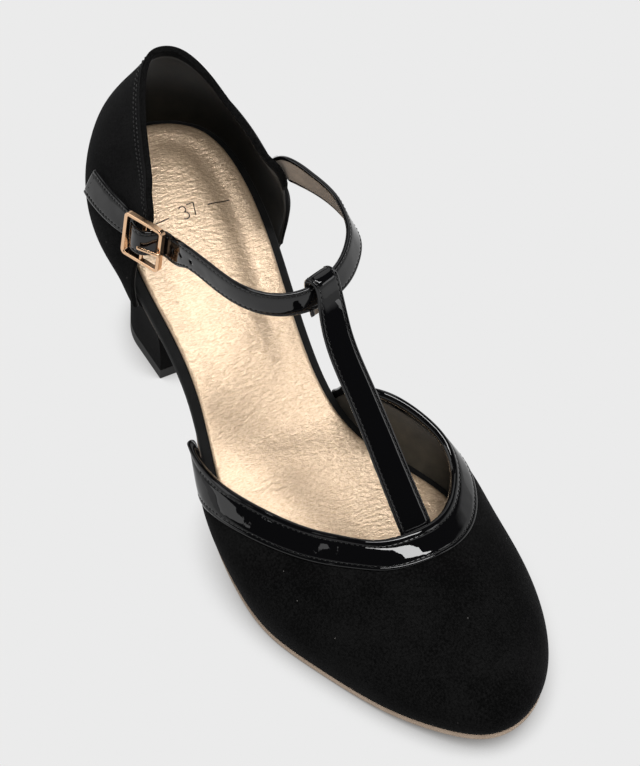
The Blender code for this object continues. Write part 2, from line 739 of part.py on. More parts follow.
def rod(name, start, end, thick, outward, look):
    """An eight-sided rod from start to end."""
    along = unit(end - start)
    side = np.cross(along, outward)
    points = []
    for centre in (start, end):
        for angle in np.radians(np.arange(22.5, 360, 45)):
            points.append(centre + 0.5 * thick * (side * np.cos(angle) + outward * np.sin(angle)))
    faces = [list(range(8))[::-1], list(range(8, 16))]
    for j in range(8):
        k = (j + 1) % 8
        faces.append([j, k, 8 + k, 8 + j])
    return add_object(name, points, faces, look)


def buckle_frame(look):
    """A rectangular ring of round wire, with the pin across its middle."""
    rear, forward, upward, outward = buckle_axes()
    length, width = FRAME_LENGTH - BAR, FRAME_WIDTH - BAR
    centre = rear + forward * 0.5 * length
    ring = []
    for sign_along, sign_up, first in ((1, -1, -90), (1, 1, 0), (-1, 1, 90), (-1, -1, 180)):
        for angle in np.radians((first, first + 45, first + 90)):
            along = sign_along * (0.5 * length - FRAME_CORNER) + FRAME_CORNER * np.cos(angle)
            up = sign_up * (0.5 * width - FRAME_CORNER) + FRAME_CORNER * np.sin(angle)
            ring.append((along, up))
    ring = np.array(ring)
    count, sides = len(ring), 8
    points, faces = [], []
    for i in range(count):
        before, after = ring[i - 1], ring[(i + 1) % count]
        heading = unit(after - before)
        normal = np.array([heading[1], -heading[0]])
        for angle in np.radians(np.arange(22.5, 360, 45)):
            flat = ring[i] + normal * 0.5 * BAR * np.cos(angle)
            lift = 0.5 * BAR * np.sin(angle)
            points.append(centre + forward * flat[0] + upward * flat[1] + outward * lift)
    for i in range(count):
        j = (i + 1) % count
        for k in range(sides):
            m = (k + 1) % sides
            faces.append([i * sides + k, i * sides + m, j * sides + m, j * sides + k])
    frame = add_object("buckle_frame", points, faces, look)
    half = 0.5 * width
    pin = rod("pin_helper", centre - upward * half, centre + upward * half, PIN, outward, look)
    pin.hide_render = True
    pin.display_type = "WIRE"
    join = frame.modifiers.new("pin", "BOOLEAN")
    join.operation = "UNION"
    join.solver = "EXACT"
    join.object = pin
    return frame


def buckle_prong(look):
    """The prong, up through the strap's hole and resting on the front bar."""
    rear, forward, upward, outward = buckle_axes()
    pin = rear + forward * 0.5 * (FRAME_LENGTH - BAR)
    front = rear + forward * (FRAME_LENGTH - BAR)
    over = 0.5 * PIN + GAP + STRAP_THICK + GAP + 0.5 * PRONG
    rest = 0.5 * BAR + GAP + 0.5 * PRONG
    start = pin + outward * over + forward * 1.2 * MM
    end = front + outward * (rest + 0.1 * MM) + forward * 0.9 * MM
    return rod("buckle_prong", start, end, PRONG, outward, look)


def clear_scene():
    for old in list(bpy.data.objects):
        bpy.data.objects.remove(old)


def build():
    clear_scene()
    suede = material("black_suede", (0.012, 0.012, 0.012), 0.95)
    patent = material("black_patent", (0.010, 0.010, 0.011), 0.08)
    gold = material("gold_grained_sock", (0.72, 0.55, 0.36), 0.45, 0.4)
    wrap = material("black_board_wrap", (0.015, 0.015, 0.015), 0.8)
    tan = material("tan_outsole", (0.20, 0.14, 0.10), 0.7)
    rubber = material("black_rubber", (0.02, 0.02, 0.02), 0.8)
    metal = material("rose_gold_metal", (0.80, 0.55, 0.38), 0.2, 1.0)
    outsole(tan)
    heel_block(suede)
    heel_top_piece(rubber)
    insole_board(wrap)
    insole_sock(gold)
    upper_vamp(suede)
    vamp_binding(patent)
    upper_counter(suede)
    t_strap(patent)
    ankle_strap(patent)
    buckle_tab(patent)
    buckle_frame(metal)
    buckle_prong(metal)


build()
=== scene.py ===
# %% [markdown]
# # A T-strap shoe in suede and patent
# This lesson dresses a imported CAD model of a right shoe. The CAD frame gives the true
# size and place of every piece. Here each piece is made again with finer sections, with
# its folded edges, grooves and stitches, and with the material of the real one.

import bpy
import numpy as np
from mathutils import Matrix, Vector


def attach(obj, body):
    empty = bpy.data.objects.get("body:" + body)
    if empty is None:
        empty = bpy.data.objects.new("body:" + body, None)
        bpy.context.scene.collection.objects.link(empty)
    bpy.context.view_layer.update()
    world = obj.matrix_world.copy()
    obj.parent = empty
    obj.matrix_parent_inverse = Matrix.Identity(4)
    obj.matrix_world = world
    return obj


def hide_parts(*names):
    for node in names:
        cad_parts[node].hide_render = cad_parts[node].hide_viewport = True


MM = 0.001
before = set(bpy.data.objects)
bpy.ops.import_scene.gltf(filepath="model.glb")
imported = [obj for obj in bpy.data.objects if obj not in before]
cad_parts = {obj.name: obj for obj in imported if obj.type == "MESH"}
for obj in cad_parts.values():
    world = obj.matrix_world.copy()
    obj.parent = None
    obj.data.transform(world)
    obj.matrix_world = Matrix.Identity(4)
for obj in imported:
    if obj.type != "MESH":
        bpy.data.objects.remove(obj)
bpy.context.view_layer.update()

# %% [markdown]
# The camera stands where the photographer's did: above the toe's lateral side, looking
# down at 48 degrees. A long lens from 1.3 m keeps the shoe's lines nearly parallel.
# The camera is rolled a little, which a matrix of its three axes states most plainly.

# %% Camera
CAMERA_AZIMUTH = 58.55
CAMERA_ELEVATION = 47.91
CAMERA_ROLL = 3.63
CAMERA_DISTANCE = 1275 * MM
CAMERA_LENS = 187.3
CAMERA_TARGET = Vector((58.65, 17.2, 20.0)) * MM


def camera_axes():
    """The camera's right, up and back directions in the shoe's frame."""
    azimuth, elevation, roll = np.radians((CAMERA_AZIMUTH, CAMERA_ELEVATION, CAMERA_ROLL))
    back = Vector((
        np.sin(azimuth) * np.cos(elevation),
        -np.cos(azimuth) * np.cos(elevation),
        np.sin(elevation),
    ))
    level = Vector((np.cos(azimuth), np.sin(azimuth), 0))
    upward = back.cross(level)
    right = level * np.cos(roll) + upward * np.sin(roll)
    return right, back.cross(right), back


camera_data = bpy.data.cameras.new("photo_camera")
camera_data.lens = CAMERA_LENS
camera_data.sensor_width = 36
camera_data.clip_start = 0.05
camera = bpy.data.objects.new("photo_camera", camera_data)
bpy.context.scene.collection.objects.link(camera)
right, upward, back = camera_axes()
camera.matrix_world = Matrix.Translation(CAMERA_TARGET + back * CAMERA_DISTANCE) @ Matrix(
    (right, upward, back)
).transposed().to_4x4()
bpy.context.scene.camera = camera
print("camera stands at, mm:", [round(v / MM) for v in camera.location])

# %% [markdown]
# A material starts from what the real surface is. Colours are written as they look on
# a screen, in hex, and one function turns them to the linear values that a shader
# needs. One more small function adds a node with its settings and its links.

# %% Colour and node helpers
WHITE = (1, 1, 1, 1)
BLACK = (0, 0, 0, 1)


def linear(hex_colour):
    """An sRGB colour such as "1a1a1a" as linear red, green, blue and alpha."""
    values = np.array([int(hex_colour[i:i + 2], 16) for i in (0, 2, 4)]) / 255
    low = values / 12.92
    high = ((values + 0.055) / 1.055) ** 2.4
    return (*np.where(values <= 0.04045, low, high), 1.0)


def feed(node, links):
    """Gives inputs their values, or links them to a socket or to another node."""
    for name, source in links.items():
        if isinstance(source, bpy.types.Node):
            source = source.outputs[0]
        if isinstance(source, bpy.types.NodeSocket):
            node.id_data.links.new(source, node.inputs[name])
        else:
            node.inputs[name].default_value = source


def add_node(tree, kind, links=None, stops=(), **settings):
    """A node with its settings and links. `stops` are a colour ramp's places and colours."""
    node = tree.nodes.new("ShaderNode" + kind)
    for name, value in settings.items():
        setattr(node, name, value)
    for i, (place, colour) in enumerate(stops):
        node.color_ramp.elements[i].position = place
        node.color_ramp.elements[i].color = colour
    feed(node, links or {})
    return node


def new_material(name, **values):
    """A material with one Principled shader, its plain values set on its own sockets."""
    look = bpy.data.materials.new(name)
    look.use_nodes = True
    shader = look.node_tree.nodes["Principled BSDF"]
    feed(shader, {socket.replace("_", " "): value for socket, value in values.items()})
    look.diffuse_color = shader.inputs["Base Color"].default_value
    spot = add_node(look.node_tree, "TexCoord").outputs["Object"]
    return look, look.node_tree, shader, spot


# %% [markdown]
# The upper is microfibre suede: a knitted base whose face is sanded to a short, dense
# nap. It has almost no gloss. Fibres that stand up catch light at grazing angles, which
# the shader's sheen does, and a hand that brushed them leaves faint paler patches. Real
# nap is too fine to show at this size, so its tufts are drawn 0.7 mm wide. A little lint
# always sits on it, here as specks 0.3 mm wide.

# %% Suede
NAP_SIZE = 0.35 * MM
TUFT_SIZE = 0.7 * MM
BRUSHED_PATCH = 16 * MM
LINT_SPACING = 7 * MM
LINT_RADIUS = 0.14 * MM
TUFT_SHARE = 0.6


def make_suede(name, dark, pale, sheen):
    look, tree, shader, spot = new_material(
        name, Base_Color=linear(dark), Roughness=0.95, Sheen_Weight=sheen,
        Sheen_Roughness=0.45, Sheen_Tint=linear("b8b8bc"), Specular_IOR_Level=0.05,
    )
    patches = add_node(tree, "TexNoise", {"Vector": spot, "Scale": 1 / BRUSHED_PATCH, "Detail": 5.0})
    tufts = add_node(tree, "TexNoise", {"Vector": spot, "Scale": 1 / TUFT_SIZE, "Detail": 2.0})
    both = add_node(tree, "MixRGB", {"Fac": TUFT_SHARE, "Color1": patches, "Color2": tufts})
    shade = add_node(tree, "ValToRGB", {"Fac": both}, stops=((0.4, linear(dark)), (0.62, linear(pale))))
    lint = add_node(tree, "TexVoronoi", {"Vector": spot, "Scale": 1 / LINT_SPACING})
    edge = LINT_RADIUS / LINT_SPACING
    specks = add_node(tree, "ValToRGB", {"Fac": lint}, stops=((edge, WHITE), (1.5 * edge, BLACK)))
    coat = add_node(tree, "MixRGB", {"Fac": specks, "Color1": shade, "Color2": linear("5c5a58")})
    nap = add_node(tree, "TexNoise", {
        "Vector": spot, "Scale": 1 / NAP_SIZE, "Detail": 4.0, "Roughness": 0.7,
    })
    fur = add_node(tree, "Bump", {"Height": nap, "Distance": 0.12 * MM, "Strength": 1.0})
    feed(shader, {"Base Color": coat, "Normal": fur})
    return look


suede = make_suede("microfibre_suede", "040404", "101010", 0.035)
print("suede tufts are", TUFT_SIZE / MM, "mm wide, and the nap's lumps", NAP_SIZE / MM, "mm")

# %% [markdown]
# The straps and the binding are patent: split leather under a thick film of clear
# polyurethane. The colour below is black and plain. What the eye reads is the film's
# mirror, and the slow waves that the leather under it leaves in that mirror.

# %% Patent
PATENT_WAVE = 7 * MM
PATENT_RIPPLE = 1.6 * MM


def make_patent(name):
    look, tree, shader, spot = new_material(
        name, Base_Color=linear("050506"), Roughness=0.30, Specular_IOR_Level=0.0,
        Coat_Weight=1.0, Coat_Roughness=0.02, Coat_IOR=1.5,
    )
    swell = add_node(tree, "TexNoise", {"Vector": spot, "Scale": 1 / PATENT_WAVE, "Detail": 1.0})
    waves = add_node(tree, "Bump", {"Height": swell, "Distance": 0.32 * MM, "Strength": 0.8})
    grain = add_node(tree, "TexNoise", {"Vector": spot, "Scale": 1 / PATENT_RIPPLE, "Detail": 2.0})
    film = add_node(tree, "Bump", {
        "Height": grain, "Distance": 0.03 * MM, "Strength": 0.6, "Normal": waves,
    })
    feed(shader, {"Normal": film, "Coat Normal": film})
    return look


patent = make_patent("patent_leather")
print("patent waves are", PATENT_WAVE / MM, "mm long")

# %% [markdown]
# The straps are lined with taupe microfibre, the counter with near-black textile and the
# vamp with a browner one. The board's edge is wrapped in the black suede. The thread is
# bonded polyester, whose smooth filaments glint a little.

# %% Lining, thread and wrap


def make_cloth(name, dark, pale, grain, roughness=0.9, sheen=0.1):
    look, tree, shader, spot = new_material(
        name, Base_Color=linear(dark), Roughness=roughness, Sheen_Weight=sheen,
        Sheen_Roughness=0.5, Specular_IOR_Level=0.25,
    )
    patches = add_node(tree, "TexNoise", {"Vector": spot, "Scale": 1 / (12 * grain), "Detail": 3.0})
    shade = add_node(tree, "ValToRGB", {"Fac": patches}, stops=((0.3, linear(dark)), (0.7, linear(pale))))
    weave = add_node(tree, "TexNoise", {"Vector": spot, "Scale": 1 / grain, "Detail": 3.0})
    face = add_node(tree, "Bump", {"Height": weave, "Distance": 0.06 * MM, "Strength": 0.7})
    feed(shader, {"Base Color": shade, "Normal": face})
    return look


taupe_lining = make_cloth("taupe_microfibre_lining", "7c7064", "8a7d70", 0.4 * MM)
dark_lining = make_cloth("black_textile_lining", "0e0d0a", "181510", 0.5 * MM, 0.75, 0.08)
vamp_lining = make_cloth("brown_textile_lining", "38332b", "484238", 0.5 * MM, 0.75, 0.1)
board_wrap = make_cloth("suede_board_wrap", "0e0e0e", "141414", 0.4 * MM, sheen=0.03)
thread = make_cloth("black_polyester_thread", "121212", "1e1e1e", 0.2 * MM, 0.3, 0.0)

# %% [markdown]
# The sock is a foil-laminated leather: champagne-gold foil pressed on a fine pebble
# grain, over foam. Foil is a metal film, and its grain scatters it to a broad gleam.
# The pebbles are cells of about 1 mm, longer across the foot than along it, with fine
# creases between them. The colour is painted shade: darker in the creases and paler on
# the raised grain.

# %% Gold sock leather
PEBBLE = 1.1 * MM
CREASE = 0.5 * MM
GRAIN_TURN = -12
GRAIN_STRETCH = 0.45


def make_gold_leather(name):
    look, tree, shader, spot = new_material(
        name, Base_Color=linear("d2b697"), Metallic=0.65, Roughness=0.38,
        Coat_Weight=1.0, Coat_Roughness=0.38, Coat_IOR=1.6,
    )
    turned = add_node(tree, "Mapping", {
        "Vector": spot, "Rotation": (0, 0, np.radians(GRAIN_TURN)), "Scale": (1.0, GRAIN_STRETCH, 1.0),
    })
    cells = add_node(tree, "TexVoronoi", {"Vector": turned, "Scale": 1 / PEBBLE}, feature="SMOOTH_F1")
    creases = add_node(tree, "TexNoise", {
        "Vector": turned, "Scale": 1 / CREASE, "Detail": 3.0, "Roughness": 0.6,
    })
    coarse = add_node(tree, "Bump", {"Height": creases, "Distance": 0.22 * MM, "Strength": 1.0})
    grain = add_node(tree, "Bump", {
        "Height": cells, "Distance": 0.2 * MM, "Strength": 0.9, "Normal": coarse,
    })
    # Painted shade: the colour is darker in the crease hollows and paler on the raised grain.
    stops = ((0.30, linear("c3a481")), (0.62, linear("dcc2a4")))
    painted_crease_shade = add_node(tree, "ValToRGB", {"Fac": creases}, stops=stops)
    feed(shader, {"Base Color": painted_crease_shade, "Normal": grain, "Coat Normal": grain})
    return look


gold_leather = make_gold_leather("gold_foil_leather")
print("sock pebbles are", PEBBLE / MM, "mm")

# %% [markdown]
# The buckle is cast zinc with a rose-gold plate, polished. A metal keeps the default
# IOR, and its colour is its reflection. The outsole is matt tan rubber, and the heel's
# top piece is black rubber. The size number is a brown-black foil stamp.

# %% Metal, rubber and stamp
CASTING_WAVE = 3 * MM
RUBBER_CLOUD = 6 * MM
RUBBER_GRIT = 0.5 * MM


def make_rose_gold(name):
    look, tree, shader, spot = new_material(
        name, Base_Color=linear("efc6a0"), Metallic=1.0, Roughness=0.12,
    )
    casting = add_node(tree, "TexNoise", {"Vector": spot, "Scale": 1 / CASTING_WAVE, "Detail": 2.0})
    polish = add_node(tree, "Bump", {"Height": casting, "Distance": 0.02 * MM, "Strength": 0.4})
    feed(shader, {"Normal": polish})
    return look


def make_rubber(name, dark, pale):
    look, tree, shader, spot = new_material(name, Base_Color=linear(dark), Roughness=0.7)
    cloud = add_node(tree, "TexNoise", {"Vector": spot, "Scale": 1 / RUBBER_CLOUD, "Detail": 4.0})
    shade = add_node(tree, "ValToRGB", {"Fac": cloud}, stops=((0.3, linear(dark)), (0.7, linear(pale))))
    grit = add_node(tree, "TexNoise", {"Vector": spot, "Scale": 1 / RUBBER_GRIT, "Detail": 3.0})
    face = add_node(tree, "Bump", {"Height": grit, "Distance": 0.05 * MM, "Strength": 0.6})
    feed(shader, {"Base Color": shade, "Normal": face})
    return look


rose_gold = make_rose_gold("rose_gold_plate")
tan_rubber = make_rubber("tan_outsole_rubber", "958372", "a39180")
black_rubber = make_rubber("black_heel_rubber", "101010", "181818")
stamp_ink = new_material("brown_foil_stamp", Base_Color=linear("2a1c10"), Roughness=0.5)[0]

# %% [markdown]
# The last is the form that a shoe is made on. Its bottom outline is a closed curve
# through a short table, and "turn" is a place on it in degrees: 0 at the back, 180 at
# the toe. Every curved piece below hangs on that outline and on the height of the sole.

# %% The last's sizes
LAST_LENGTH = 234 * MM
BALL_WIDTH = 75 * MM
HEEL_RISE = 51 * MM
TOE_SPRING = 5.2 * MM
SLOPE_END = 0.736
SLOPE_POWER = 1.19
SPRING_START = 0.80
OUTSOLE_THICK = 2.7 * MM
BOARD_THICK = 4.0 * MM
SOCK_THICK = 1.3 * MM
GAP = 0.3 * MM
UPPER_WALL = 2.0 * MM
FEATHER_OFFSET = GAP + UPPER_WALL + 0.2 * MM
SEAT_BACK = -38.25 * MM
BOARD_LEVEL = OUTSOLE_THICK + GAP
BOARD_TOP = BOARD_LEVEL + BOARD_THICK
SOCK_LEVEL = BOARD_TOP + GAP

OUTLINE_COLUMNS = ("along", "medial", "lateral")
OUTLINE = (
    (0.00, 0.000, 0.000),
    (0.04, 0.250, 0.190),
    (0.12, 0.317, 0.320),
    (0.25, 0.284, 0.387),
    (0.40, 0.212, 0.388),
    (0.52, 0.263, 0.470),
    (0.63, 0.480, 0.504),
    (0.71, 0.510, 0.482),
    (0.80, 0.495, 0.383),
    (0.89, 0.425, 0.258),
    (0.96, 0.295, 0.118),
    (1.00, 0.065, -0.065),
)

# %% [markdown]
# A natural cubic spline runs through every table. outline() gives a point of the last's
# edge at any turn with its outward direction, and rise() how high the sole is there.

# %% Curves on the last


def spline(knots, values, at):
    """A natural cubic spline through the knots, worked out at each place in `at`."""
    knots, values, at = (np.asarray(item, float) for item in (knots, values, at))
    step = np.diff(knots)
    slope = np.diff(values) / step
    count = len(knots)
    matrix = np.eye(count)
    target = np.zeros(count)
    for i in range(1, count - 1):
        matrix[i, i - 1:i + 2] = step[i - 1], 2 * (step[i - 1] + step[i]), step[i]
        target[i] = 6 * (slope[i] - slope[i - 1])
    bend = np.linalg.solve(matrix, target)
    piece = np.clip(np.searchsorted(knots, at, side="right") - 1, 0, count - 2)
    width = step[piece]
    after = (at - knots[piece]) / width
    before = 1 - after
    curve = (before**3 - before) * bend[piece] + (after**3 - after) * bend[piece + 1]
    return before * values[piece] + after * values[piece + 1] + curve * width**2 / 6


def column(table, names, name):
    return np.array([row[names.index(name)] for row in table], float)


def unit(vectors):
    return vectors / np.linalg.norm(vectors, axis=-1, keepdims=True)


def outline_side(turn):
    """Distance from the middle line, medial positive, at a turn of 0 to 360 degrees."""
    along, medial, lateral = (column(OUTLINE, OUTLINE_COLUMNS, name) for name in OUTLINE_COLUMNS)
    knots = np.degrees(np.arccos(1 - 2 * along))
    turns = np.concatenate([knots, 360 - knots[-2:0:-1]])
    sides = np.concatenate([medial, -lateral[-2:0:-1]])
    wrap = 4
    turns = np.concatenate([turns[-wrap:] - 360, turns, turns[:wrap] + 360])
    sides = np.concatenate([sides[-wrap:], sides, sides[:wrap]])
    return BALL_WIDTH * spline(turns, sides, np.mod(turn, 360))


def outline(turn, grow=0.0):
    """Points of the last's bottom outline, moved outward by `grow`, and outward normals."""
    turn = np.asarray(turn, float)

    def point(at):
        along = 0.5 * LAST_LENGTH * (1 - np.cos(np.radians(at)))
        return np.stack([along, outline_side(at)], -1)

    nudge = 0.2
    tangent = unit(point(turn + nudge) - point(turn - nudge))
    normal = np.stack([-tangent[..., 1], tangent[..., 0]], -1)
    return point(turn) + normal * np.asarray(grow)[..., None], normal


def rise(along):
    """Height of the sole's underside: the seat, the slope of the shank and the toe spring."""
    share = np.clip(np.asarray(along) / LAST_LENGTH, 0, 1.1)
    down = np.clip(share / SLOPE_END, 0, 1) ** SLOPE_POWER
    spring = np.clip((share - SPRING_START) / (1 - SPRING_START), 0, None) ** 2
    return 0.5 * HEEL_RISE * (1 + np.cos(np.pi * down)) + TOE_SPRING * spring


def raised(plan, level):
    """Points above the sole's underside: plan positions with a height over rise()."""
    return np.concatenate([plan, (rise(plan[..., 0]) + level)[..., None]], -1)


def turn_at(along):
    """The turn at which the outline reaches a distance from the back."""
    return np.degrees(np.arccos(1 - 2 * along / LAST_LENGTH))


print("last outline at the ball, mm:", np.round(outline_side(np.array([110.0, 250.0])) / MM, 1))

# %% [markdown]
# Most pieces are one section swept along a line, so one helper makes them all: it
# takes a stack of closed rings and skins them. Rounding the two ends is what turns a
# cut plank into a folded, turned-in edge, and it needs only a few smaller rings.

# %% Mesh helpers
END_ANGLES = (30, 55, 75)


def add_piece(name, points, faces, looks, face_looks, node=None, slot=None):
    """One smooth mesh object that rides with the shoe and may stand for a CAD node."""
    shifted = np.asarray(points, float).reshape(-1, 3) + (SEAT_BACK, 0, 0)
    mesh = bpy.data.meshes.new(name)
    mesh.from_pydata(shifted.tolist(), [], [list(face) for face in faces])
    for look in looks:
        mesh.materials.append(look)
    mesh.polygons.foreach_set("material_index", np.asarray(face_looks, np.int32))
    mesh.shade_smooth()
    piece = bpy.data.objects.new(name, mesh)
    bpy.context.scene.collection.objects.link(piece)
    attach(piece, "root")
    if node:
        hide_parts(node)
    print(f"{name}: {len(mesh.vertices)} points, {len(mesh.polygons)} faces")
    return piece


def ring_faces(count, sides, joined=False, first=0):
    """Quads between neighbouring rings of `sides` points, and the side each lies on."""
    spans = np.arange(count if joined else count - 1)
    side = np.arange(sides)
    here = first + (spans * sides)[:, None]
    there = first + (((spans + 1) % count) * sides)[:, None]
    after = (side + 1) % sides
    quads = np.stack([here + side, here + after, there + after, there + side], -1)
    return quads.reshape(-1, 4).tolist(), np.tile(side, len(spans))


def circle(centre, one, two, radius, sides):
    """Points of a circle in the plane of two directions."""
    angles = np.radians(np.arange(sides) * 360 / sides)
    return [centre + radius * (one * np.cos(a) + two * np.sin(a)) for a in angles]


def bevel_edges(piece, width, segments, angle):
    """Rounds the edges that turn by more than the angle."""
    bevel = piece.modifiers.new("soft_edges", "BEVEL")
    bevel.width = width
    bevel.segments = segments
    bevel.angle_limit = np.radians(angle)
    bevel.harden_normals = True


def sweep(name, rings, looks, side_looks=None, **says):
    """A closed body through closed rings, with both ends capped."""
    count, sides = rings.shape[:2]
    faces, side = ring_faces(count, sides)
    if side_looks is None:
        side_looks = np.zeros(sides, int)
    face_looks = list(np.asarray(side_looks)[side])
    for start, turn_round in ((0, True), ((count - 1) * sides, False)):
        half = sides // 2
        for j in range(half - 1):
            quad = [start + j, start + j + 1, start + sides - 2 - j, start + sides - 1 - j]
            faces.append(quad[::-1] if turn_round else quad)
            face_looks.append(0)
    return add_piece(name, rings.reshape(-1, 3), faces, looks, face_looks, **says)


def rounded_ends(rings, radius):
    """More rings at both ends that draw in to the section's middle, as a folded edge."""

    def tip(last, before):
        middle = 0.5 * (last + last[::-1])
        heading = unit(middle - 0.5 * (before + before[::-1])) * radius
        angles = np.radians(END_ANGLES)
        return [middle + (last - middle) * np.cos(a) + heading * np.sin(a) for a in angles]

    return np.concatenate([tip(rings[0], rings[1])[::-1], rings, tip(rings[-1], rings[-2])])


# %% [markdown]
# Stitches are short threads that lie in a row, each a little arched so that its ends
# dive into their needle holes. A row follows any line of points, with the direction
# away from the surface at each point, and all of a row's stitches are one mesh.

# %% Stitch helper
STITCH_PITCH = 1.8 * MM
STITCH_LENGTH = 1.3 * MM
THREAD_THICK = 0.42 * MM
STITCH_RINGS = 5
THREAD_SIDES = 6
STITCH_RISE = 0.25
STITCH_DIVE = 1.6
STITCH_TAPER = 0.5


def along_line(line, values, places):
    """Values at distances along a line of points."""
    reach = np.concatenate([[0], np.cumsum(np.linalg.norm(np.diff(line, axis=0), axis=1))])
    return np.stack([np.interp(places, reach, values[:, i]) for i in range(values.shape[1])], 1)


def stitch_row(line, outward):
    """Points and faces of one row of stitches along a line."""
    length = np.linalg.norm(np.diff(line, axis=0), axis=1).sum()
    count = int(length / STITCH_PITCH)
    points, faces = [], []
    shares = np.linspace(0, 1, STITCH_RINGS)
    toward_end = (2 * shares - 1) ** 4
    arch = THREAD_THICK * (STITCH_RISE - STITCH_DIVE * toward_end)
    thin = 0.5 * THREAD_THICK * (1 - STITCH_TAPER * toward_end)
    for k in range(count):
        places = (k + 0.5) * STITCH_PITCH + (shares - 0.5) * STITCH_LENGTH
        middle = along_line(line, line, places)
        out = unit(along_line(line, outward, places))
        heading = unit(np.gradient(middle, axis=0))
        across = np.cross(heading, out)
        first = len(points)
        for i in range(STITCH_RINGS):
            points += circle(middle[i] + out[i] * arch[i], across[i], out[i], thin[i], THREAD_SIDES)
        faces += ring_faces(STITCH_RINGS, THREAD_SIDES, first=first)[0]
    return points, faces


def add_stitches(name, rows):
    """One piece of every stitch in several rows. Each row is a line and its outward side."""
    points, faces = [], []
    for line, outward in rows:
        row_points, row_faces = stitch_row(line, outward)
        faces += [[index + len(points) for index in face] for face in row_faces]
        points += row_points
    return add_piece(name, points, faces, [thread], [0] * len(faces))


# %% [markdown]
# Slabs such as the board, the outsole and the heel are stacks of horizontal rings.
# Each level holds a medial and a lateral rail of the outline. Where a slab asks for it,
# the bevel modifier then softens its sharp corners, as a covering that is pulled round an
# edge does.

# %% Slab helper


def spread(start, end, count, pull=1.0):
    """Evenly spaced places from start to end. A pull over 1 crowds them to both ends."""
    share = np.linspace(0, 1, count)
    eased = 0.5 * (1 - np.cos(np.pi * share))
    return start + (end - start) * ((2 - pull) * share + (pull - 1) * eased)


def rails(start, end, count, grow, level, pull=1.5):
    """The medial and the lateral rail of the outline between two turns."""
    turns = spread(start, end, count, pull)
    both = []
    for at in (turns, 360 - turns):
        plan, _ = outline(at, grow(at) if callable(grow) else grow)
        both.append(raised(plan, level))
    return both


def slab(name, levels, look, top_rows=0, lift=None, soften=0.0, **says):
    """A solid between rails. Its top may have rows of points, which `lift` moves."""
    points, faces = [], []

    def store(rail):
        start = len(points)
        points.extend(rail)
        return list(range(start, start + len(rail)))

    def close(medial, lateral, ring, rows, turn_over):
        count = len(medial)
        lines = [ring[:count]]
        for share in np.linspace(0, 1, rows + 2)[1:-1]:
            line = medial + (lateral - medial) * share
            lines.append(store(line + lift(line, medial, lateral, share)))
        lines.append(ring[count:][::-1])
        for one, two in zip(lines, lines[1:]):
            for i in range(count - 1):
                quad = [one[i], one[i + 1], two[i + 1], two[i]]
                faces.append(quad[::-1] if turn_over else quad)

    rings = [store(medial) + store(lateral)[::-1] for medial, lateral in levels]
    for low, high in zip(rings, rings[1:]):
        for i in range(len(low)):
            j = (i + 1) % len(low)
            faces.append([low[i], low[j], high[j], high[i]])
    close(*levels[0], rings[0], 0, turn_over=True)
    close(*levels[-1], rings[-1], top_rows, turn_over=False)
    piece = add_piece(name, points, faces, [look], [0] * len(faces), **says)
    weld = piece.modifiers.new("weld", "WELD")
    weld.merge_threshold = 0.002 * MM
    if soften:
        bevel_edges(piece, soften, 3, 40)
    return piece


# %% [markdown]
# The outsole is a thin sheet of tan rubber. Its edge is hidden under the board at the
# waist and stands out a little past the upper round the vamp. Each slab's edge is a row
# of pairs: how far a ring lies inside the outline and how high, in shares of its thickness.

# %% Outsole
BREAST = 57 * MM
SOLE_BEHIND_BREAST = 1.0 * MM
WAIST_TUCK = 1.0 * MM
TUCK_UNTIL = 78
TUCK_BLEND = 18
SLAB_COUNT = 140
SOLE_EDGE = ((0.5, 0.0), (0.22, 0.1), (0.05, 0.25), (0.0, 0.45), (0.0, 0.8), (0.5, 1.0))


def sole_edge(turn):
    """How far the outsole stands out past the board: tucked at the waist, out at the vamp."""
    side = np.minimum(np.mod(turn, 360), 360 - np.mod(turn, 360))
    blend = np.clip((side - TUCK_UNTIL) / TUCK_BLEND, 0, 1)
    return (FEATHER_OFFSET + WAIST_TUCK) * blend**2 * (3 - 2 * blend) - WAIST_TUCK


def make_outsole():
    start = turn_at(BREAST + GAP + SOLE_BEHIND_BREAST)
    levels = []
    for inset, level in SOLE_EDGE:

        def grow(turn, inset=inset):
            return sole_edge(turn) - inset * OUTSOLE_THICK

        levels.append(rails(start, 180, SLAB_COUNT, grow, level * OUTSOLE_THICK))
    return slab("rubber_outsole", levels, tan_rubber, node="outsole", slot="tan_outsole")


make_outsole()

# %% [markdown]
# The insole board is fibreboard wrapped in the upper's black suede, because its edge
# shows at the open waist. The wrap rounds its edges.

# %% Insole board
BOARD_EDGE = ((0.25, 0.0), (0.08, 0.08), (0.0, 0.25), (0.0, 0.78), (0.06, 0.92), (0.2, 1.0))


def make_board():
    levels = []
    for inset, level in BOARD_EDGE:
        height = BOARD_LEVEL + level * BOARD_THICK
        levels.append(rails(0, 180, SLAB_COUNT, -inset * BOARD_THICK, height))
    return slab("wrapped_board", levels, board_wrap, node="insole_board", slot="black_board_wrap")


make_board()

# %% [markdown]
# The sock is soft: foam under foil leather. A heat press leaves a shallow trough inside
# its edge, round the heel and down the medial side. A foot's ball has sunk a soft hollow,
# and in front of it the foam stands up in a low ridge, which catches the light. Both are
# rows of a table in millimetres: the distance from the back, half the length and the
# lift. The top is a grid between the two rails, and one function lifts each point.

# %% Padded sock
SOCK_MARGIN = 3.0 * MM
SOCK_CROWN = 1.0 * MM
TROUGH_INSIDE = 7.5 * MM
TROUGH_HALF = 4.2 * MM
TROUGH_DEEP = 1.15 * MM
TROUGH_FADE = (58 * MM, 104 * MM)
TROUGH_TAPER = 0.7
LATERAL_TROUGH = 0.45
EDGE_BLEND = 4.0 * MM
LATERAL_FROM = 0.35
LATERAL_BLEND = 0.3
RELIEF = (
    (108, 14, -1.8),
    (124, 6.5, 1.5),
)
SOCK_COUNT = 200
SOCK_ROWS = 70
SOCK_EDGE = ((0.0, 0.0), (0.0, 0.45), (0.15, 0.8), (0.6, 1.0))


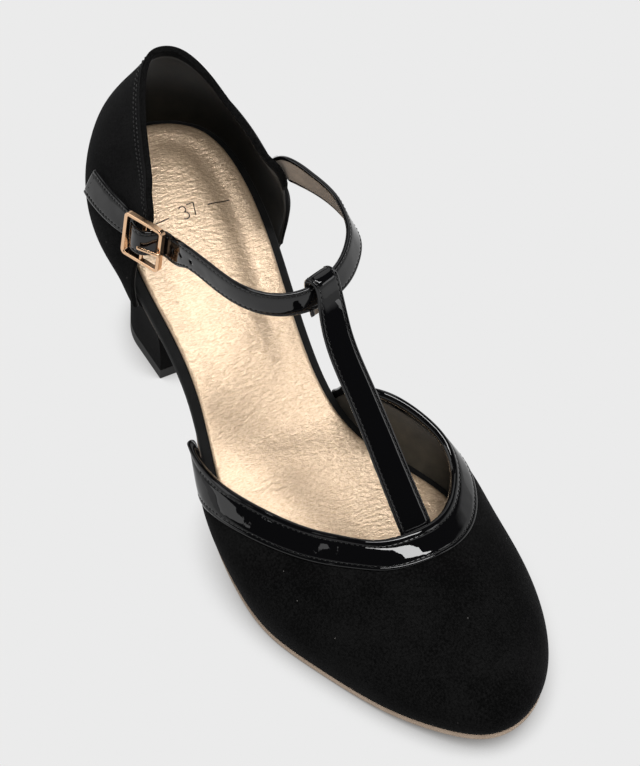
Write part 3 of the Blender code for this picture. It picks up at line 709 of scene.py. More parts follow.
def sock_relief(line, medial, lateral, share):
    """How far the sock's top stands over the flat lines between its rails."""
    width = np.linalg.norm(lateral - medial, axis=1)
    middle = 1 - (2 * share - 1) ** 2
    crown = SOCK_CROWN * np.clip(width / BALL_WIDTH * 2, 0, 1) * middle
    nearness = sum(
        np.exp(-distance / EDGE_BLEND)
        for distance in (width * share, width * (1 - share), line[:, 0] - SOCK_MARGIN)
    )
    from_edge = -EDGE_BLEND * np.log(nearness)
    fade = 1 - np.clip((line[:, 0] - TROUGH_FADE[0]) / (TROUGH_FADE[1] - TROUGH_FADE[0]), 0, 1)
    lateral_share = np.clip((share - LATERAL_FROM) / LATERAL_BLEND, 0, 1)
    deep = TROUGH_DEEP * (1 - (1 - LATERAL_TROUGH) * lateral_share) * fade**TROUGH_TAPER
    height = crown - deep * np.exp(-((from_edge - TROUGH_INSIDE) / TROUGH_HALF) ** 2)
    for centre, half, lift in np.array(RELIEF) * MM:
        height += lift * middle * np.exp(-((line[:, 0] - centre) / half) ** 2)
    return np.outer(height, (0, 0, 1))


def make_sock():
    levels = []
    for inset, level in SOCK_EDGE:
        grow = -SOCK_MARGIN - inset * SOCK_THICK
        levels.append(rails(0, 180, SOCK_COUNT, grow, SOCK_LEVEL + level * SOCK_THICK))
    sock = slab("padded_gold_sock", levels, gold_leather, SOCK_ROWS, sock_relief,
                node="insole_sock", slot="gold_grained_sock")
    return sock


make_sock()

# %% [markdown]
# The heel is a plastic block covered in suede. Its rings run from the seat's outline at
# the top to the small D of the foot, and a power curve gives the waisted side between.

# %% Heel block and top piece
FOOT_REAR = 20 * MM
FOOT_FRONT = 56.5 * MM
FOOT_HALF_WIDTH = 19.2 * MM
FOOT_ROUND_PART = 0.55
FOOT_CROWDING = 1.3
HEEL_COUNT = 60
HEEL_RINGS = 26
HEEL_SOFTNESS = 0.7 * MM
TOP_PIECE_SOFTNESS = 0.4 * MM
HEEL_WAIST_POWER = 2.6
TOP_PIECE = 4.0 * MM


def foot_rail(count, side, height):
    """Half the outline of the heel's foot: rounded behind and straight to the breast."""
    share = np.linspace(0, 1, count) ** FOOT_CROWDING
    reach = np.clip(share / FOOT_ROUND_PART, 0, 1)
    across = side * FOOT_HALF_WIDTH * np.sqrt(1 - (1 - reach) ** 2)
    along = FOOT_REAR + (FOOT_FRONT - FOOT_REAR) * share
    return np.stack([along, across, np.full(count, height)], -1)


def make_heel():
    top = rails(0, turn_at(BREAST), HEEL_COUNT, FEATHER_OFFSET - GAP, OUTSOLE_THICK, 1.0)
    foot = TOP_PIECE + GAP
    levels = []
    for drop in np.linspace(0, 1, HEEL_RINGS):
        pair = []
        for rail, side in zip(top, (1, -1)):
            low = foot_rail(HEEL_COUNT, side, foot)
            plan = low[:, :2] + (rail[:, :2] - low[:, :2]) * drop**HEEL_WAIST_POWER
            height = foot + (rail[:, 2:] - foot) * drop
            pair.append(np.concatenate([plan, height], 1))
        levels.append(pair)
    return slab("suede_heel", levels, suede, soften=HEEL_SOFTNESS,
                node="heel_block", slot="black_suede")


def make_top_piece():
    levels = []
    for height in (0.0, TOP_PIECE):
        levels.append([foot_rail(HEEL_COUNT, side, height) for side in (1, -1)])
    return slab("heel_lift", levels, black_rubber, soften=TOP_PIECE_SOFTNESS,
                node="heel_top_piece", slot="black_rubber")


make_heel()
make_top_piece()

# %% [markdown]
# The counter is the back of the upper, with a wing on each side that carries a strap.
# A table gives its top edge from one wing's front round to the other's. Each section
# runs up the outside, rolls over the folded top edge and runs down the lining.

# %% Counter's table
COUNTER_HEIGHT = 40 * MM
SEAT_MIDDLE = 0.16
BULGE_LOW = 1.15
BULGE_HIGH = 2.0
LEAN_POWER = 1.15
COUNTER_COLUMNS = ("turn", "along", "across", "up", "bulge", "sweep")
COUNTER = (
    (-61.0, 0.268, -0.368, 0.900, 0.010, 0.032),
    (-59.8, 0.262, -0.362, 0.970, 0.018, 0.028),
    (-58.0, 0.248, -0.347, 0.995, 0.036, 0.020),
    (-54.5, 0.229, -0.316, 0.988, 0.072, 0.010),
    (-48.0, 0.186, -0.256, 0.930, 0.102, 0.003),
    (-39.0, 0.126, -0.178, 0.905, 0.106, 0.000),
    (-25.0, 0.064, -0.078, 0.955, 0.090, 0.000),
    (0.0, 0.035, 0.056, 1.008, 0.077, 0.000),
    (17.0, 0.052, 0.158, 0.952, 0.071, 0.000),
    (31.0, 0.100, 0.208, 0.885, 0.068, 0.000),
    (42.0, 0.150, 0.220, 0.880, 0.068, 0.000),
    (50.0, 0.205, 0.236, 0.888, 0.062, 0.000),
    (55.0, 0.243, 0.250, 0.895, 0.062, 0.004),
    (57.8, 0.264, 0.270, 0.890, 0.048, 0.014),
    (59.2, 0.270, 0.284, 0.790, 0.032, 0.022),
)


def hump(share, low, high):
    """0 at both ends of the share and 1 at its peak, which is nearer the smaller power."""
    peak = low / (low + high)
    return share**low * (1 - share) ** high / (peak**low * (1 - peak) ** high)


def counter_wall(turn, up):
    """Outer face of the counter at a turn and a share of the wall's height, as arrays."""
    turns = column(COUNTER, COUNTER_COLUMNS, "turn")
    along, across, share, bulge, back = (
        spline(turns, column(COUNTER, COUNTER_COLUMNS, name), turn) for name in COUNTER_COLUMNS[1:]
    )
    top = raised(np.stack([LAST_LENGTH * along, BALL_WIDTH * across], -1), BOARD_TOP)
    top[..., 2] += share * COUNTER_HEIGHT
    plan, normal = outline(turn, FEATHER_OFFSET)
    foot = raised(plan, BOARD_LEVEL)
    out = np.concatenate([normal, np.zeros_like(normal[..., :1])], -1)
    lean = np.stack([up**LEAN_POWER, up**LEAN_POWER, up], -1)
    swell = BALL_WIDTH * bulge * hump(up, BULGE_LOW, BULGE_HIGH)
    wall = foot + (top - foot) * lean + out * swell[..., None]
    wall[..., 0] -= BALL_WIDTH * back * hump(up, 1, 2)
    return wall


def table_turns(table, names, count):
    """Places along a table's rows, as many between each two rows."""
    turns = column(table, names, "turn")
    return np.interp(np.linspace(0, len(turns) - 1, count), np.arange(len(turns)), turns)


def grid_normals(grid, outward):
    """Unit normals of a grid of points, turned to the side where `outward` points."""
    normal = unit(np.cross(np.gradient(grid, axis=0), np.gradient(grid, axis=1)))
    sign = np.sign(np.sum(normal * outward, -1, keepdims=True).mean())
    return normal * sign


def outward_of(grid):
    """Rough outward directions: away from the middle line of the seat."""
    return unit((grid - (SEAT_MIDDLE * LAST_LENGTH, 0, 0)) * (1, 1, 0))


def counter_surface(turns, ups):
    turn, up = np.meshgrid(turns, ups, indexing="ij")
    wall = counter_wall(turn, up)
    return wall, grid_normals(wall, outward_of(wall))


# %% [markdown]
# The suede is folded in over the top edge, so the lining starts below it and lies a
# little deeper. Two rows of stitches below the edge hold the fold.

# %% Counter
FOLD_ANGLES = (25, 55, 90, 125, 155)
COUNTER_ROWS = (3.0 * MM, 4.6 * MM)
ROW_INSET = 4
LINING_FOLD = 5.0 * MM
LINING_STEP = 0.25 * MM
LINING_BLEND = 0.3 * MM
LINING_SIDES_DOWN = 8
COUNTER_COUNT = 230
COUNTER_SIDES = 60
WING_ROUND = 0.9 * MM


def folded_sections(outer, normal, thick, foot_inner):
    """Rings up the outer face, over a rounded top edge and down the lining."""
    inner = outer - normal * thick
    inner[:, 0] = foot_inner
    upward = unit(outer[:, -1] - outer[:, -3])
    top_normal = normal[:, -1]
    middle = outer[:, -1] - top_normal * 0.5 * thick - upward * 0.5 * thick
    roll = []
    for angle in np.radians(FOLD_ANGLES):
        roll.append(middle + 0.5 * thick * (top_normal * np.cos(angle) + upward * np.sin(angle)))
    steps = np.linalg.norm(np.diff(inner, axis=1), axis=2)
    from_top = np.cumsum(steps[:, ::-1], axis=1)[:, ::-1]
    from_top = np.concatenate([from_top, np.zeros((len(outer), 1))], 1)
    sink = LINING_STEP * 0.5 * (1 + np.tanh((from_top - LINING_FOLD) / LINING_BLEND))
    inner = inner + normal * sink[..., None]
    inner[:, 0] = foot_inner
    return np.concatenate([outer[:, :-1], np.stack(roll, 1), inner[:, -2::-1]], 1)


def make_counter():
    turns = table_turns(COUNTER, COUNTER_COLUMNS, COUNTER_COUNT)
    ups = spread(0, 1, COUNTER_SIDES, 1.3)
    outer, normal = counter_surface(turns, ups)
    foot = raised(outline(turns, GAP)[0], BOARD_LEVEL)
    rings = folded_sections(outer, normal, UPPER_WALL, foot)
    sides = rings.shape[1]
    lined = np.zeros(sides, int)
    lined[sides // 2 + LINING_SIDES_DOWN:] = 1
    return sweep("suede_counter", rounded_ends(rings, WING_ROUND), [suede, dark_lining], lined,
                 node="upper_counter", slot="black_suede")


def counter_stitch_lines():
    """Two rows that follow the top edge at fixed distances below it."""
    turns = table_turns(COUNTER, COUNTER_COLUMNS, COUNTER_COUNT)
    ups = np.linspace(0.5, 1, COUNTER_SIDES)
    outer, normal = counter_surface(turns, ups)
    reach = np.cumsum(np.linalg.norm(np.diff(outer, axis=1), axis=2)[:, ::-1], axis=1)
    rows = []
    for below in COUNTER_ROWS:
        line, out = [], []
        for points, normals, far in zip(outer[:, ::-1], normal[:, ::-1], reach):
            places = np.concatenate([[0], far])
            line.append([np.interp(below, places, points[:, i]) for i in range(3)])
            out.append([np.interp(below, places, normals[:, i]) for i in range(3)])
        inside = slice(ROW_INSET, -ROW_INSET)
        rows.append((np.array(line)[inside], np.array(out)[inside]))
    return rows


make_counter()
add_stitches("counter_stitches", counter_stitch_lines())

# %% [markdown]
# The vamp covers the toes. Each section is one Bezier curve from the feather line, where
# the upper meets the sole, to the throat. A table places the throat and says how full
# the wall is, and the patent binding takes the curve's last centimetre.

# %% Vamp's table
THROAT_HEIGHT = 30 * MM
BINDING_WIDTH = 10.2 * MM
SHARE_COUNT = 161
LOWEST_SHARE = 0.05
LOW_HANDLE = 0.52
HIGH_HANDLE = (0.46, 0.46, 0)
VAMP_COLUMNS = ("turn", "along", "across", "up", "full", "steep")
VAMP = (
    (85.0, 0.454, 0.243, -0.045, 0.00, 0.20),
    (86.5, 0.472, 0.232, 0.240, 0.01, 0.20),
    (89.0, 0.511, 0.246, 0.640, 0.03, 0.20),
    (93.0, 0.551, 0.316, 0.880, 0.04, 0.20),
    (99.0, 0.603, 0.409, 0.925, 0.05, 0.20),
    (107.0, 0.651, 0.428, 0.915, 0.052, 0.22),
    (120.0, 0.702, 0.352, 0.915, 0.065, 0.30),
    (140.0, 0.739, 0.225, 0.955, 0.075, 0.38),
    (168.0, 0.750, 0.075, 0.985, 0.07, 0.44),
    (196.0, 0.740, -0.080, 0.965, 0.05, 0.44),
    (220.0, 0.704, -0.193, 0.885, 0.05, 0.38),
    (238.0, 0.656, -0.300, 0.750, 0.060, 0.32),
    (251.0, 0.595, -0.410, 0.600, 0.066, 0.25),
    (261.0, 0.538, -0.472, 0.390, 0.066, 0.20),
    (269.0, 0.486, -0.475, 0.118, 0.028, 0.20),
    (274.0, 0.450, -0.468, -0.045, 0.000, 0.20),
)


def vamp_lines(turns, shares):
    """Outer face of the vamp: one curve from feather line to top edge at each turn."""
    table = column(VAMP, VAMP_COLUMNS, "turn")
    along, across, share, full, steep = (
        spline(table, column(VAMP, VAMP_COLUMNS, name), turns) for name in VAMP_COLUMNS[1:]
    )
    full = full * BALL_WIDTH
    top = raised(np.stack([LAST_LENGTH * along, BALL_WIDTH * across], -1), BOARD_TOP)
    top[:, 2] += share * THROAT_HEIGHT
    plan, normal = outline(turns, FEATHER_OFFSET)
    foot = raised(plan, BOARD_LEVEL)
    out = np.concatenate([normal, np.zeros((len(turns), 1))], 1)
    chord = foot - top
    drop = -chord[:, 2:] * (0, 0, 1)
    low_handle = foot + out * full[:, None] + drop * LOW_HANDLE
    high_handle = top + chord * HIGH_HANDLE + out * (0.5 * full)[:, None] - drop * steep[:, None]
    t = shares[..., None]
    curve = foot[:, None] * (1 - t) ** 3 + 3 * low_handle[:, None] * t * (1 - t) ** 2
    return curve + 3 * high_handle[:, None] * t**2 * (1 - t) + top[:, None] * t**3


def vamp_normals(turns, shares):
    """Outward normals of the vamp's lines, from nearby points, and the lines."""
    up_step = 0.004
    turn_step = 0.15
    above = vamp_lines(turns, np.clip(shares + up_step, 0, 1))
    below = vamp_lines(turns, np.clip(shares - up_step, 0, 1))
    later = vamp_lines(turns + turn_step, shares)
    sooner = vamp_lines(turns - turn_step, shares)
    return unit(np.cross(above - below, later - sooner)), vamp_lines(turns, shares)


def share_below(turns, distances):
    """The share of each vamp line at the given distances below its top edge."""
    fine = np.tile(np.linspace(0, 1, SHARE_COUNT), (len(turns), 1))
    lines = vamp_lines(turns, fine)
    steps = np.linalg.norm(np.diff(lines, axis=1), axis=2)
    to_top = np.cumsum(steps[:, ::-1], axis=1)[:, ::-1]
    to_top = np.concatenate([to_top, np.zeros((len(turns), 1))], 1)
    found = [np.interp(-distances, -far, share) for far, share in zip(to_top, fine)]
    return np.clip(found, LOWEST_SHARE, 1)


# %% [markdown]
# The suede stops under the binding, which is lapped over it and sewn. The seam draws
# the suede down a little beside the patent's edge.

# %% Vamp
BINDING_SINK = 1.0 * MM
SEAM_DRAW = 0.2 * MM
SEAM_REACH = 1.6 * MM
VAMP_COUNT = 300
BODY_ROWS = 50
BODY_CROWDING = 0.9
EDGE_ROWS = 8


def make_vamp():
    turns = table_turns(VAMP, VAMP_COLUMNS, VAMP_COUNT)
    start = share_below(turns, np.array([BINDING_WIDTH]))
    under_edge = share_below(turns, np.array([SEAM_REACH]))
    body = np.linspace(0, 1, BODY_ROWS)[None] ** BODY_CROWDING * start
    edge = start + np.linspace(0.02, 1, EDGE_ROWS)[None] * (under_edge - start)
    shares = np.concatenate([body, edge], 1)
    normal, lines = vamp_normals(turns, shares)
    to_seam = np.linalg.norm(lines - lines[:, BODY_ROWS - 1:BODY_ROWS], axis=2)
    sink = SEAM_DRAW * np.exp(-(to_seam / SEAM_REACH) ** 2)
    sink[:, BODY_ROWS:] = BINDING_SINK
    outer = lines - normal * sink[..., None]
    inner = lines - normal * UPPER_WALL
    inner[:, 0] = raised(outline(turns, GAP)[0], BOARD_LEVEL)
    rings = np.concatenate([outer, inner[:, ::-1]], 1)
    lined = np.zeros(rings.shape[1], int)
    lined[outer.shape[1]:-1] = 1
    return sweep("suede_vamp", rings, [suede, vamp_lining], lined,
                 node="upper_vamp", slot="black_suede")


make_vamp()

# %% [markdown]
# The binding is a strip of patent folded over the top edge: it runs down the outside
# for a centimetre and down the inside for half of that. Its section is a short table:
# how far below the top edge a point lies, and how far out of the suede's face. The two
# dips are the grooves that its rows of stitches pull into it.

# %% Binding
BINDING_GROOVES = (2.3 * MM, 9.1 * MM)
BINDING_ROW_LIFT = 0.25 * MM
BINDING_ROW_TURNS = (88, 268)
BINDING_COUNT = 420
BINDING_PROFILE_COLUMNS = ("below", "out")
BINDING_PROFILE = (
    (10.30, -0.30), (10.40, 0.02), (10.30, 0.30), (10.00, 0.44), (9.60, 0.46),
    (9.35, 0.36), (9.10, 0.22), (8.85, 0.36), (8.60, 0.46),
    (7.60, 0.50), (6.40, 0.52), (5.20, 0.52), (4.00, 0.50), (3.00, 0.46),
    (2.60, 0.34), (2.30, 0.20), (2.00, 0.36), (1.60, 0.50),
    (1.00, 0.55), (0.50, 0.45), (0.10, 0.15),
    (-0.15, -0.35), (-0.20, -0.90), (-0.10, -1.45), (0.20, -1.95), (0.70, -2.25),
    (1.50, -2.38), (2.60, -2.38), (4.00, -2.36), (5.00, -2.34), (5.25, -2.20),
    (5.20, -2.00), (3.00, -1.90), (1.10, -1.70),
    (1.10, -0.95), (4.00, -0.80), (7.50, -0.80), (10.00, -0.70),
)


def binding_sections(turns):
    below = column(BINDING_PROFILE, BINDING_PROFILE_COLUMNS, "below") * MM
    out = column(BINDING_PROFILE, BINDING_PROFILE_COLUMNS, "out") * MM
    shares = share_below(turns, np.clip(below, 0, None))
    normal, lines = vamp_normals(turns, shares)
    top, under = (vamp_lines(turns, np.full((len(turns), 1), share)) for share in (1.0, 0.985))
    upward = unit(top - under)
    above = np.clip(-below, 0, None)
    return lines + normal * out[None, :, None] + upward * above[None, :, None]


def binding_rows(turns):
    """The two lines of stitches, in the bottoms of the grooves."""
    shares = share_below(turns, np.array(BINDING_GROOVES))
    normal, lines = vamp_normals(turns, shares)
    points = lines + normal * BINDING_ROW_LIFT
    return [(points[:, i], normal[:, i]) for i in range(len(BINDING_GROOVES))]


def make_binding():
    turns = table_turns(VAMP, VAMP_COLUMNS, BINDING_COUNT)
    rings = binding_sections(turns)
    sweep("patent_binding", rings, [patent], node="vamp_binding", slot="black_patent")
    first, last = BINDING_ROW_TURNS
    inside = turns[(turns > first) & (turns < last)]
    add_stitches("binding_stitches", binding_rows(inside))


make_binding()

# %% [markdown]
# A strap is two layers cut together: patent whose edges are turned in, and a taupe
# lining that stops short of them. The section is symmetrical, so a table gives one half:
# how far in from the edge, how high the patent stands there and how deep the back is.

# %% Strap helper
STRAP_PROFILE_COLUMNS = ("inset", "front", "back")
STRAP_PROFILE = (
    (0.00, -0.15, -0.15), (0.08, 0.30, -0.45), (0.25, 0.60, -0.65), (0.55, 0.78, -0.78),
    (0.80, 0.76, -0.80), (0.95, 0.66, -0.80), (1.10, 0.58, -0.66), (1.25, 0.66, -0.66),
    (1.40, 0.76, -0.68),
    (1.90, 0.83, -0.76), (2.80, 0.85, -0.80), (3.80, 0.86, -0.82),
)
STRAP_GROOVE = 1.10 * MM
STRAP_ROW_LIFT = 0.66 * MM
STRAP_END = 0.7 * MM
LINED_FROM = 1.10 * MM


def strap_frames(path):
    """Points, width directions and outward directions along a strap's middle line."""
    points, across = path[:, :3], path[:, 3:6]
    tangent = unit(np.gradient(points, axis=0))
    across = unit(across - tangent * np.sum(across * tangent, 1, keepdims=True))
    return points, across, np.cross(across, tangent)


def strap_sections(path, width):
    """Rings of a strap, whose width is one value or one for each point, and the lined sides."""
    points, across, out = strap_frames(path)
    inset, front, back = (column(STRAP_PROFILE, STRAP_PROFILE_COLUMNS, name) * MM
                          for name in STRAP_PROFILE_COLUMNS)
    half = 0.5 * np.broadcast_to(width, len(path))[:, None]

    def lines(side, order, lifts):
        """One half of a face, from the edge inward or from the middle outward."""
        pairs = zip(inset[::order], lifts[::order])
        return [points + across * side * (half - place) + out * lift for place, lift in pairs]

    face = lines(-1, 1, front) + lines(1, -1, front)
    rear = lines(1, 1, back) + lines(-1, -1, back)
    covered = np.concatenate([inset, inset[::-1]]) >= LINED_FROM - 1e-6
    lined_rear = (covered & np.roll(covered, -1)).astype(int)
    lined = np.concatenate([np.zeros(len(face), int), lined_rear])
    return np.stack(face + rear, 1), lined


def strap_rows(path, width, first, last):
    """The two stitch rows in the grooves of a strap's front, from one point to another."""
    points, across, out = strap_frames(path)
    rows = []
    reach = 0.5 * np.broadcast_to(width, len(path))[:, None] - STRAP_GROOVE
    for side in (-1, 1):
        line = points + across * side * reach + out * STRAP_ROW_LIFT
        rows.append((line[first:last], out[first:last]))
    return rows


def on_counter(turns, ups, near, lift):
    """A strap's middle line laid on the counter, and its directions up the wall."""
    grid = counter_wall(np.repeat(turns[:, None], 3, 1), ups[:, None] + near * np.array([-1, 0, 1]))
    normal = grid_normals(grid, outward_of(grid))[:, 1]
    return grid[:, 1] + normal * lift, unit(grid[:, 2] - grid[:, 0])


def places_of(table):
    """The first three columns of a strap's table as points in metres."""
    return np.array([row[:3] for row in table]) * (LAST_LENGTH, BALL_WIDTH, TOP_LINE)


def resampled(path, spacing):
    """The same path with its points about `spacing` apart."""
    path = np.asarray(path, float)
    steps = np.linalg.norm(np.diff(path[:, :3], axis=0), axis=1)
    reach = np.concatenate([[0], np.cumsum(steps)])
    places = np.linspace(0, reach[-1], int(round(reach[-1] / spacing)) + 1)
    return np.stack([spline(reach, path[:, i], places) for i in range(path.shape[1])], 1)


# %% [markdown]
# The buckle's place rules the ankle strap's end, so its directions come first: the
# frame lies on the tab that is sewn to the lateral wing. The strap goes under the front
# bar, over the pin and down again behind it.

# %% Buckle's place
STRAP_WIDTH = 9.0 * MM
TOP_LINE = HEEL_RISE + COUNTER_HEIGHT
STRAP_THICK = 1.7 * MM
LOOP_SLACK = 0.5 * MM
TAB_THICK = 1.5 * MM
FRAME_LENGTH = 15.8 * MM
FRAME_WIDTH = 16.4 * MM
BAR = 1.7 * MM
PIN = 1.3 * MM
REAR_BAR_TURN = -58.8
REAR_BAR_UP = 0.715
BUCKLE_LIFT = 1.3 * MM
STRAP_CLIMB = 1.8 * MM
STRAP_LEAD = 2.4 * MM
STRAP_BEND = 0.9 * MM
STRAP_REST = 1.2 * MM
STRAP_TIP = 4.6 * MM
STRAP_DIP = 0.2 * MM
FRAME_FORWARD = (0.93, 0.36, -0.02)
FRAME_UP = (-0.10, 0.15, 0.98)


def buckle_axes():
    """Middle of the rear bar, and the frame's directions: forward, up and outward."""
    turns = np.array([REAR_BAR_TURN, REAR_BAR_TURN - 1.0])
    wall, normals = counter_surface(turns, np.array([REAR_BAR_UP - 0.05, REAR_BAR_UP + 0.05]))
    normal = normals[0].mean(0)
    upward = unit(np.array(FRAME_UP))
    forward = np.array(FRAME_FORWARD)
    forward = unit(forward - upward * (forward @ upward))
    rear = wall[0].mean(0) + normal * (GAP + TAB_THICK + GAP + 0.5 * BAR + BUCKLE_LIFT)
    return rear, forward, upward, np.cross(forward, upward)


def strap_in_buckle():
    """The ankle strap's last points: under the front bar, over the pin, and its tip."""
    rear, forward, upward, outward = buckle_axes()
    front = rear + forward * (FRAME_LENGTH - BAR)
    pin = rear + forward * 0.5 * (FRAME_LENGTH - BAR)
    under = 0.5 * BAR + GAP + 0.5 * STRAP_THICK
    over = 0.5 * PIN + GAP + 0.5 * STRAP_THICK
    climb = upward * STRAP_CLIMB
    return [
        front - outward * under + forward * STRAP_LEAD + climb,
        front - outward * (under + STRAP_DIP) - forward * STRAP_BEND + climb,
        pin + outward * over + forward * STRAP_BEND + climb * 0.5,
        pin + outward * over - forward * STRAP_REST + climb * 0.4,
        pin - outward * STRAP_DIP - forward * STRAP_TIP,
    ]


# %% [markdown]
# The ankle strap is sewn along the medial wing, swings round the front of the ankle and
# is buckled on the lateral side. Its middle line is a short table of points, and "flare"
# is how far its lower edge leans out. Three punched holes show in front of the buckle.

# %% Ankle strap
ANKLE_COLUMNS = ("along", "across", "height", "flare")
ANKLE = (
    (0.2675, 0.2960, 0.9165, 0),
    (0.3034, 0.3340, 0.9275, 5),
    (0.3333, 0.3570, 0.9330, 11),
    (0.3675, 0.3650, 0.9385, 17),
    (0.3966, 0.3540, 0.9440, 25),
    (0.4222, 0.3310, 0.9486, 29),
    (0.4487, 0.2780, 0.9505, 28),
    (0.4752, 0.1920, 0.9505, 25),
    (0.4944, 0.0653, 0.9505, 17),
    (0.4979, -0.0533, 0.9505, 8),
    (0.4838, -0.1627, 0.9495, 3),
    (0.4496, -0.2480, 0.9473, 1),
    (0.3889, -0.3053, 0.9407, 0),
    (0.3483, -0.3333, 0.9253, 0),
)
LOOP_ROW = 8
ANKLE_STEP = 0.7 * MM
SEAM_COLUMNS = ("turn", "up")
SEAM = ((51.6, 0.50), (53.6, 0.645), (55.8, 0.81))
SEAM_NEAR = 0.04
SEAM_LIFT = 0.3 * MM
HOLE_COUNT = 3
HOLE_SIDES = 16
HOLE_PITCH = 5.6 * MM
HOLE_RADIUS = 0.75 * MM
HOLES_FROM_END = 19.5 * MM
CUTTER_REACH = 2 * MM


def ankle_path():
    turns, ups = (column(SEAM, SEAM_COLUMNS, name) for name in SEAM_COLUMNS)
    seam = on_counter(turns, ups, SEAM_NEAR, GAP + 0.5 * STRAP_THICK + SEAM_LIFT)
    path, across = (list(rows) for rows in seam)
    rows = places_of(ANKLE)
    tangents = unit(np.gradient(rows, axis=0))
    flares = np.radians(column(ANKLE, ANKLE_COLUMNS, "flare"))
    for point, tangent, flare in zip(rows, tangents, flares):
        outward = unit(np.array([-tangent[1], tangent[0], 0.0]))
        path.append(point)
        across.append(np.array([0, 0, np.cos(flare)]) - outward * np.sin(flare))
    _, _, upward, _ = buckle_axes()
    for point in strap_in_buckle():
        path.append(point)
        across.append(upward)
    return resampled(np.concatenate([np.array(path), np.array(across)], 1), ANKLE_STEP)


def hole_cutter(path):
    """Cylinders through the strap, as one helper mesh."""
    points, across, out = strap_frames(path)
    reach = np.cumsum(np.linalg.norm(np.diff(points, axis=0), axis=1))
    cutter_points, faces = [], []
    for k in range(HOLE_COUNT):
        i = int(np.searchsorted(reach, reach[-1] - HOLES_FROM_END - k * HOLE_PITCH))
        tangent = np.cross(across[i], out[i])
        for lift in (CUTTER_REACH, -CUTTER_REACH):
            centre = points[i] + out[i] * lift
            cutter_points += circle(centre, across[i], tangent, HOLE_RADIUS, HOLE_SIDES)
        first = 2 * HOLE_SIDES * k
        middle = first + HOLE_SIDES
        faces += ring_faces(2, HOLE_SIDES, first=first)[0]
        faces.append(list(range(first, middle))[::-1])
        faces.append(list(range(middle, middle + HOLE_SIDES)))
    mesh = bpy.data.meshes.new("hole_cutter")
    mesh.from_pydata((np.array(cutter_points) + (SEAT_BACK, 0, 0)).tolist(), [], faces)
    mesh.materials.append(thread)
    return bpy.data.objects.new("hole_cutter", mesh)


def punch(piece, cutter):
    """Cuts the cutter out of the piece and removes the cutter."""
    bpy.context.scene.collection.objects.link(cutter)
    cut = piece.modifiers.new("holes", "BOOLEAN")
    cut.operation = "DIFFERENCE"
    cut.solver = "EXACT"
    cut.object = cutter
    graph = bpy.context.evaluated_depsgraph_get()
    mesh = bpy.data.meshes.new_from_object(piece.evaluated_get(graph))
    piece.modifiers.clear()
    piece.data = mesh
    bpy.data.objects.remove(cutter)
    print(piece.name, "punched:", len(mesh.polygons), "faces")


def make_ankle_strap():
    path = ankle_path()
    rings, lined = strap_sections(path, STRAP_WIDTH)
    strap = sweep("patent_ankle_strap", rounded_ends(rings, STRAP_END), [patent, taupe_lining], lined,
                  node="ankle_strap", slot="black_patent")
    punch(strap, hole_cutter(path))
    add_stitches("ankle_strap_stitches", strap_rows(path, STRAP_WIDTH, 3, -3))


make_ankle_strap()

# %% [markdown]
# The T-strap starts under the throat, runs up to the ankle strap, folds over it and is
# sewn down behind itself, which makes the loop that the ankle strap slides through.

# %% T-strap
T_STRAP_COLUMNS = ("along", "across", "height", "width")
T_STRAP = (
    (0.7863, 0.1187, 0.2769, 0.146),
    (0.7650, 0.1173, 0.3099, 0.146),
    (0.7436, 0.1133, 0.3560, 0.144),
    (0.6838, 0.0960, 0.5033, 0.138),
    (0.5983, 0.0680, 0.7209, 0.130),
    (0.5385, 0.0560, 0.8703, 0.126),
)
T_STRAP_STEP = 0.6 * MM
LOOP_ANGLES = (0, 35, 70, 110, 145, 180)
LOOP_START = 0.45
LOOP_BULGE = 1.05
LOOP_TOP_IN = 0.38
LOOP_TAIL = (0.4, 1.6)


def ankle_frame():
    """The ankle strap at the T-strap: its middle, direction, width and outward vectors."""
    before, centre, after = places_of(ANKLE)[LOOP_ROW - 1:LOOP_ROW + 2]
    along = unit((before - after) * (1, 1, 0))
    level = np.array([along[1], -along[0], 0])
    flare = np.radians(column(ANKLE, ANKLE_COLUMNS, "flare")[LOOP_ROW])
    across = np.array([0, 0, 1]) * np.cos(flare) - level * np.sin(flare)
    out = level * np.cos(flare) + np.array([0, 0, 1]) * np.sin(flare)
    return centre, along, across, out


def t_strap_path():
    centre, along, across, out = ankle_frame()
    clear = STRAP_THICK + GAP + LOOP_SLACK
    half = 0.5 * STRAP_WIDTH
    widths = BALL_WIDTH * column(T_STRAP, T_STRAP_COLUMNS, "width")
    path = [(*point, 0.0, 1.0, 0.0, width) for point, width in zip(places_of(T_STRAP), widths)]
    loop = [centre + out * clear * LOOP_BULGE + across * half * LOOP_START]
    top_edge = centre + across * (half - LOOP_TOP_IN * clear)
    for angle in np.radians(LOOP_ANGLES):
        loop.append(top_edge + clear * (out * np.cos(angle) + across * np.sin(angle)))
    for place in LOOP_TAIL:
        loop.append(centre - out * clear - across * half * place)
    path += [(*point, *along, widths[-1]) for point in loop]
    return resampled(path, T_STRAP_STEP)


def make_t_strap():
    path = t_strap_path()
    rings, lined = strap_sections(path, path[:, 6])
    sweep("patent_t_strap", rounded_ends(rings, STRAP_END), [patent, taupe_lining], lined,
          node="t_strap", slot="black_patent")
    add_stitches("t_strap_stitches", strap_rows(path, path[:, 6], 3, -3))


make_t_strap()

# %% [markdown]
# The tab holds the buckle. It lies on the wing's curve, so its middle line and width
# directions are taken from the counter's own surface.

# %% Buckle tab
TAB_REAR_TURN = -42.0
TAB_FRONT_TURN = -58.2
TAB_REAR_UP = 0.455
TAB_FRONT_UP = 0.695
TAB_WIDTH = 8.6 * MM
TAB_NEAR = 0.06
TAB_LIFT = 0.1 * MM
TAB_COUNT = 50


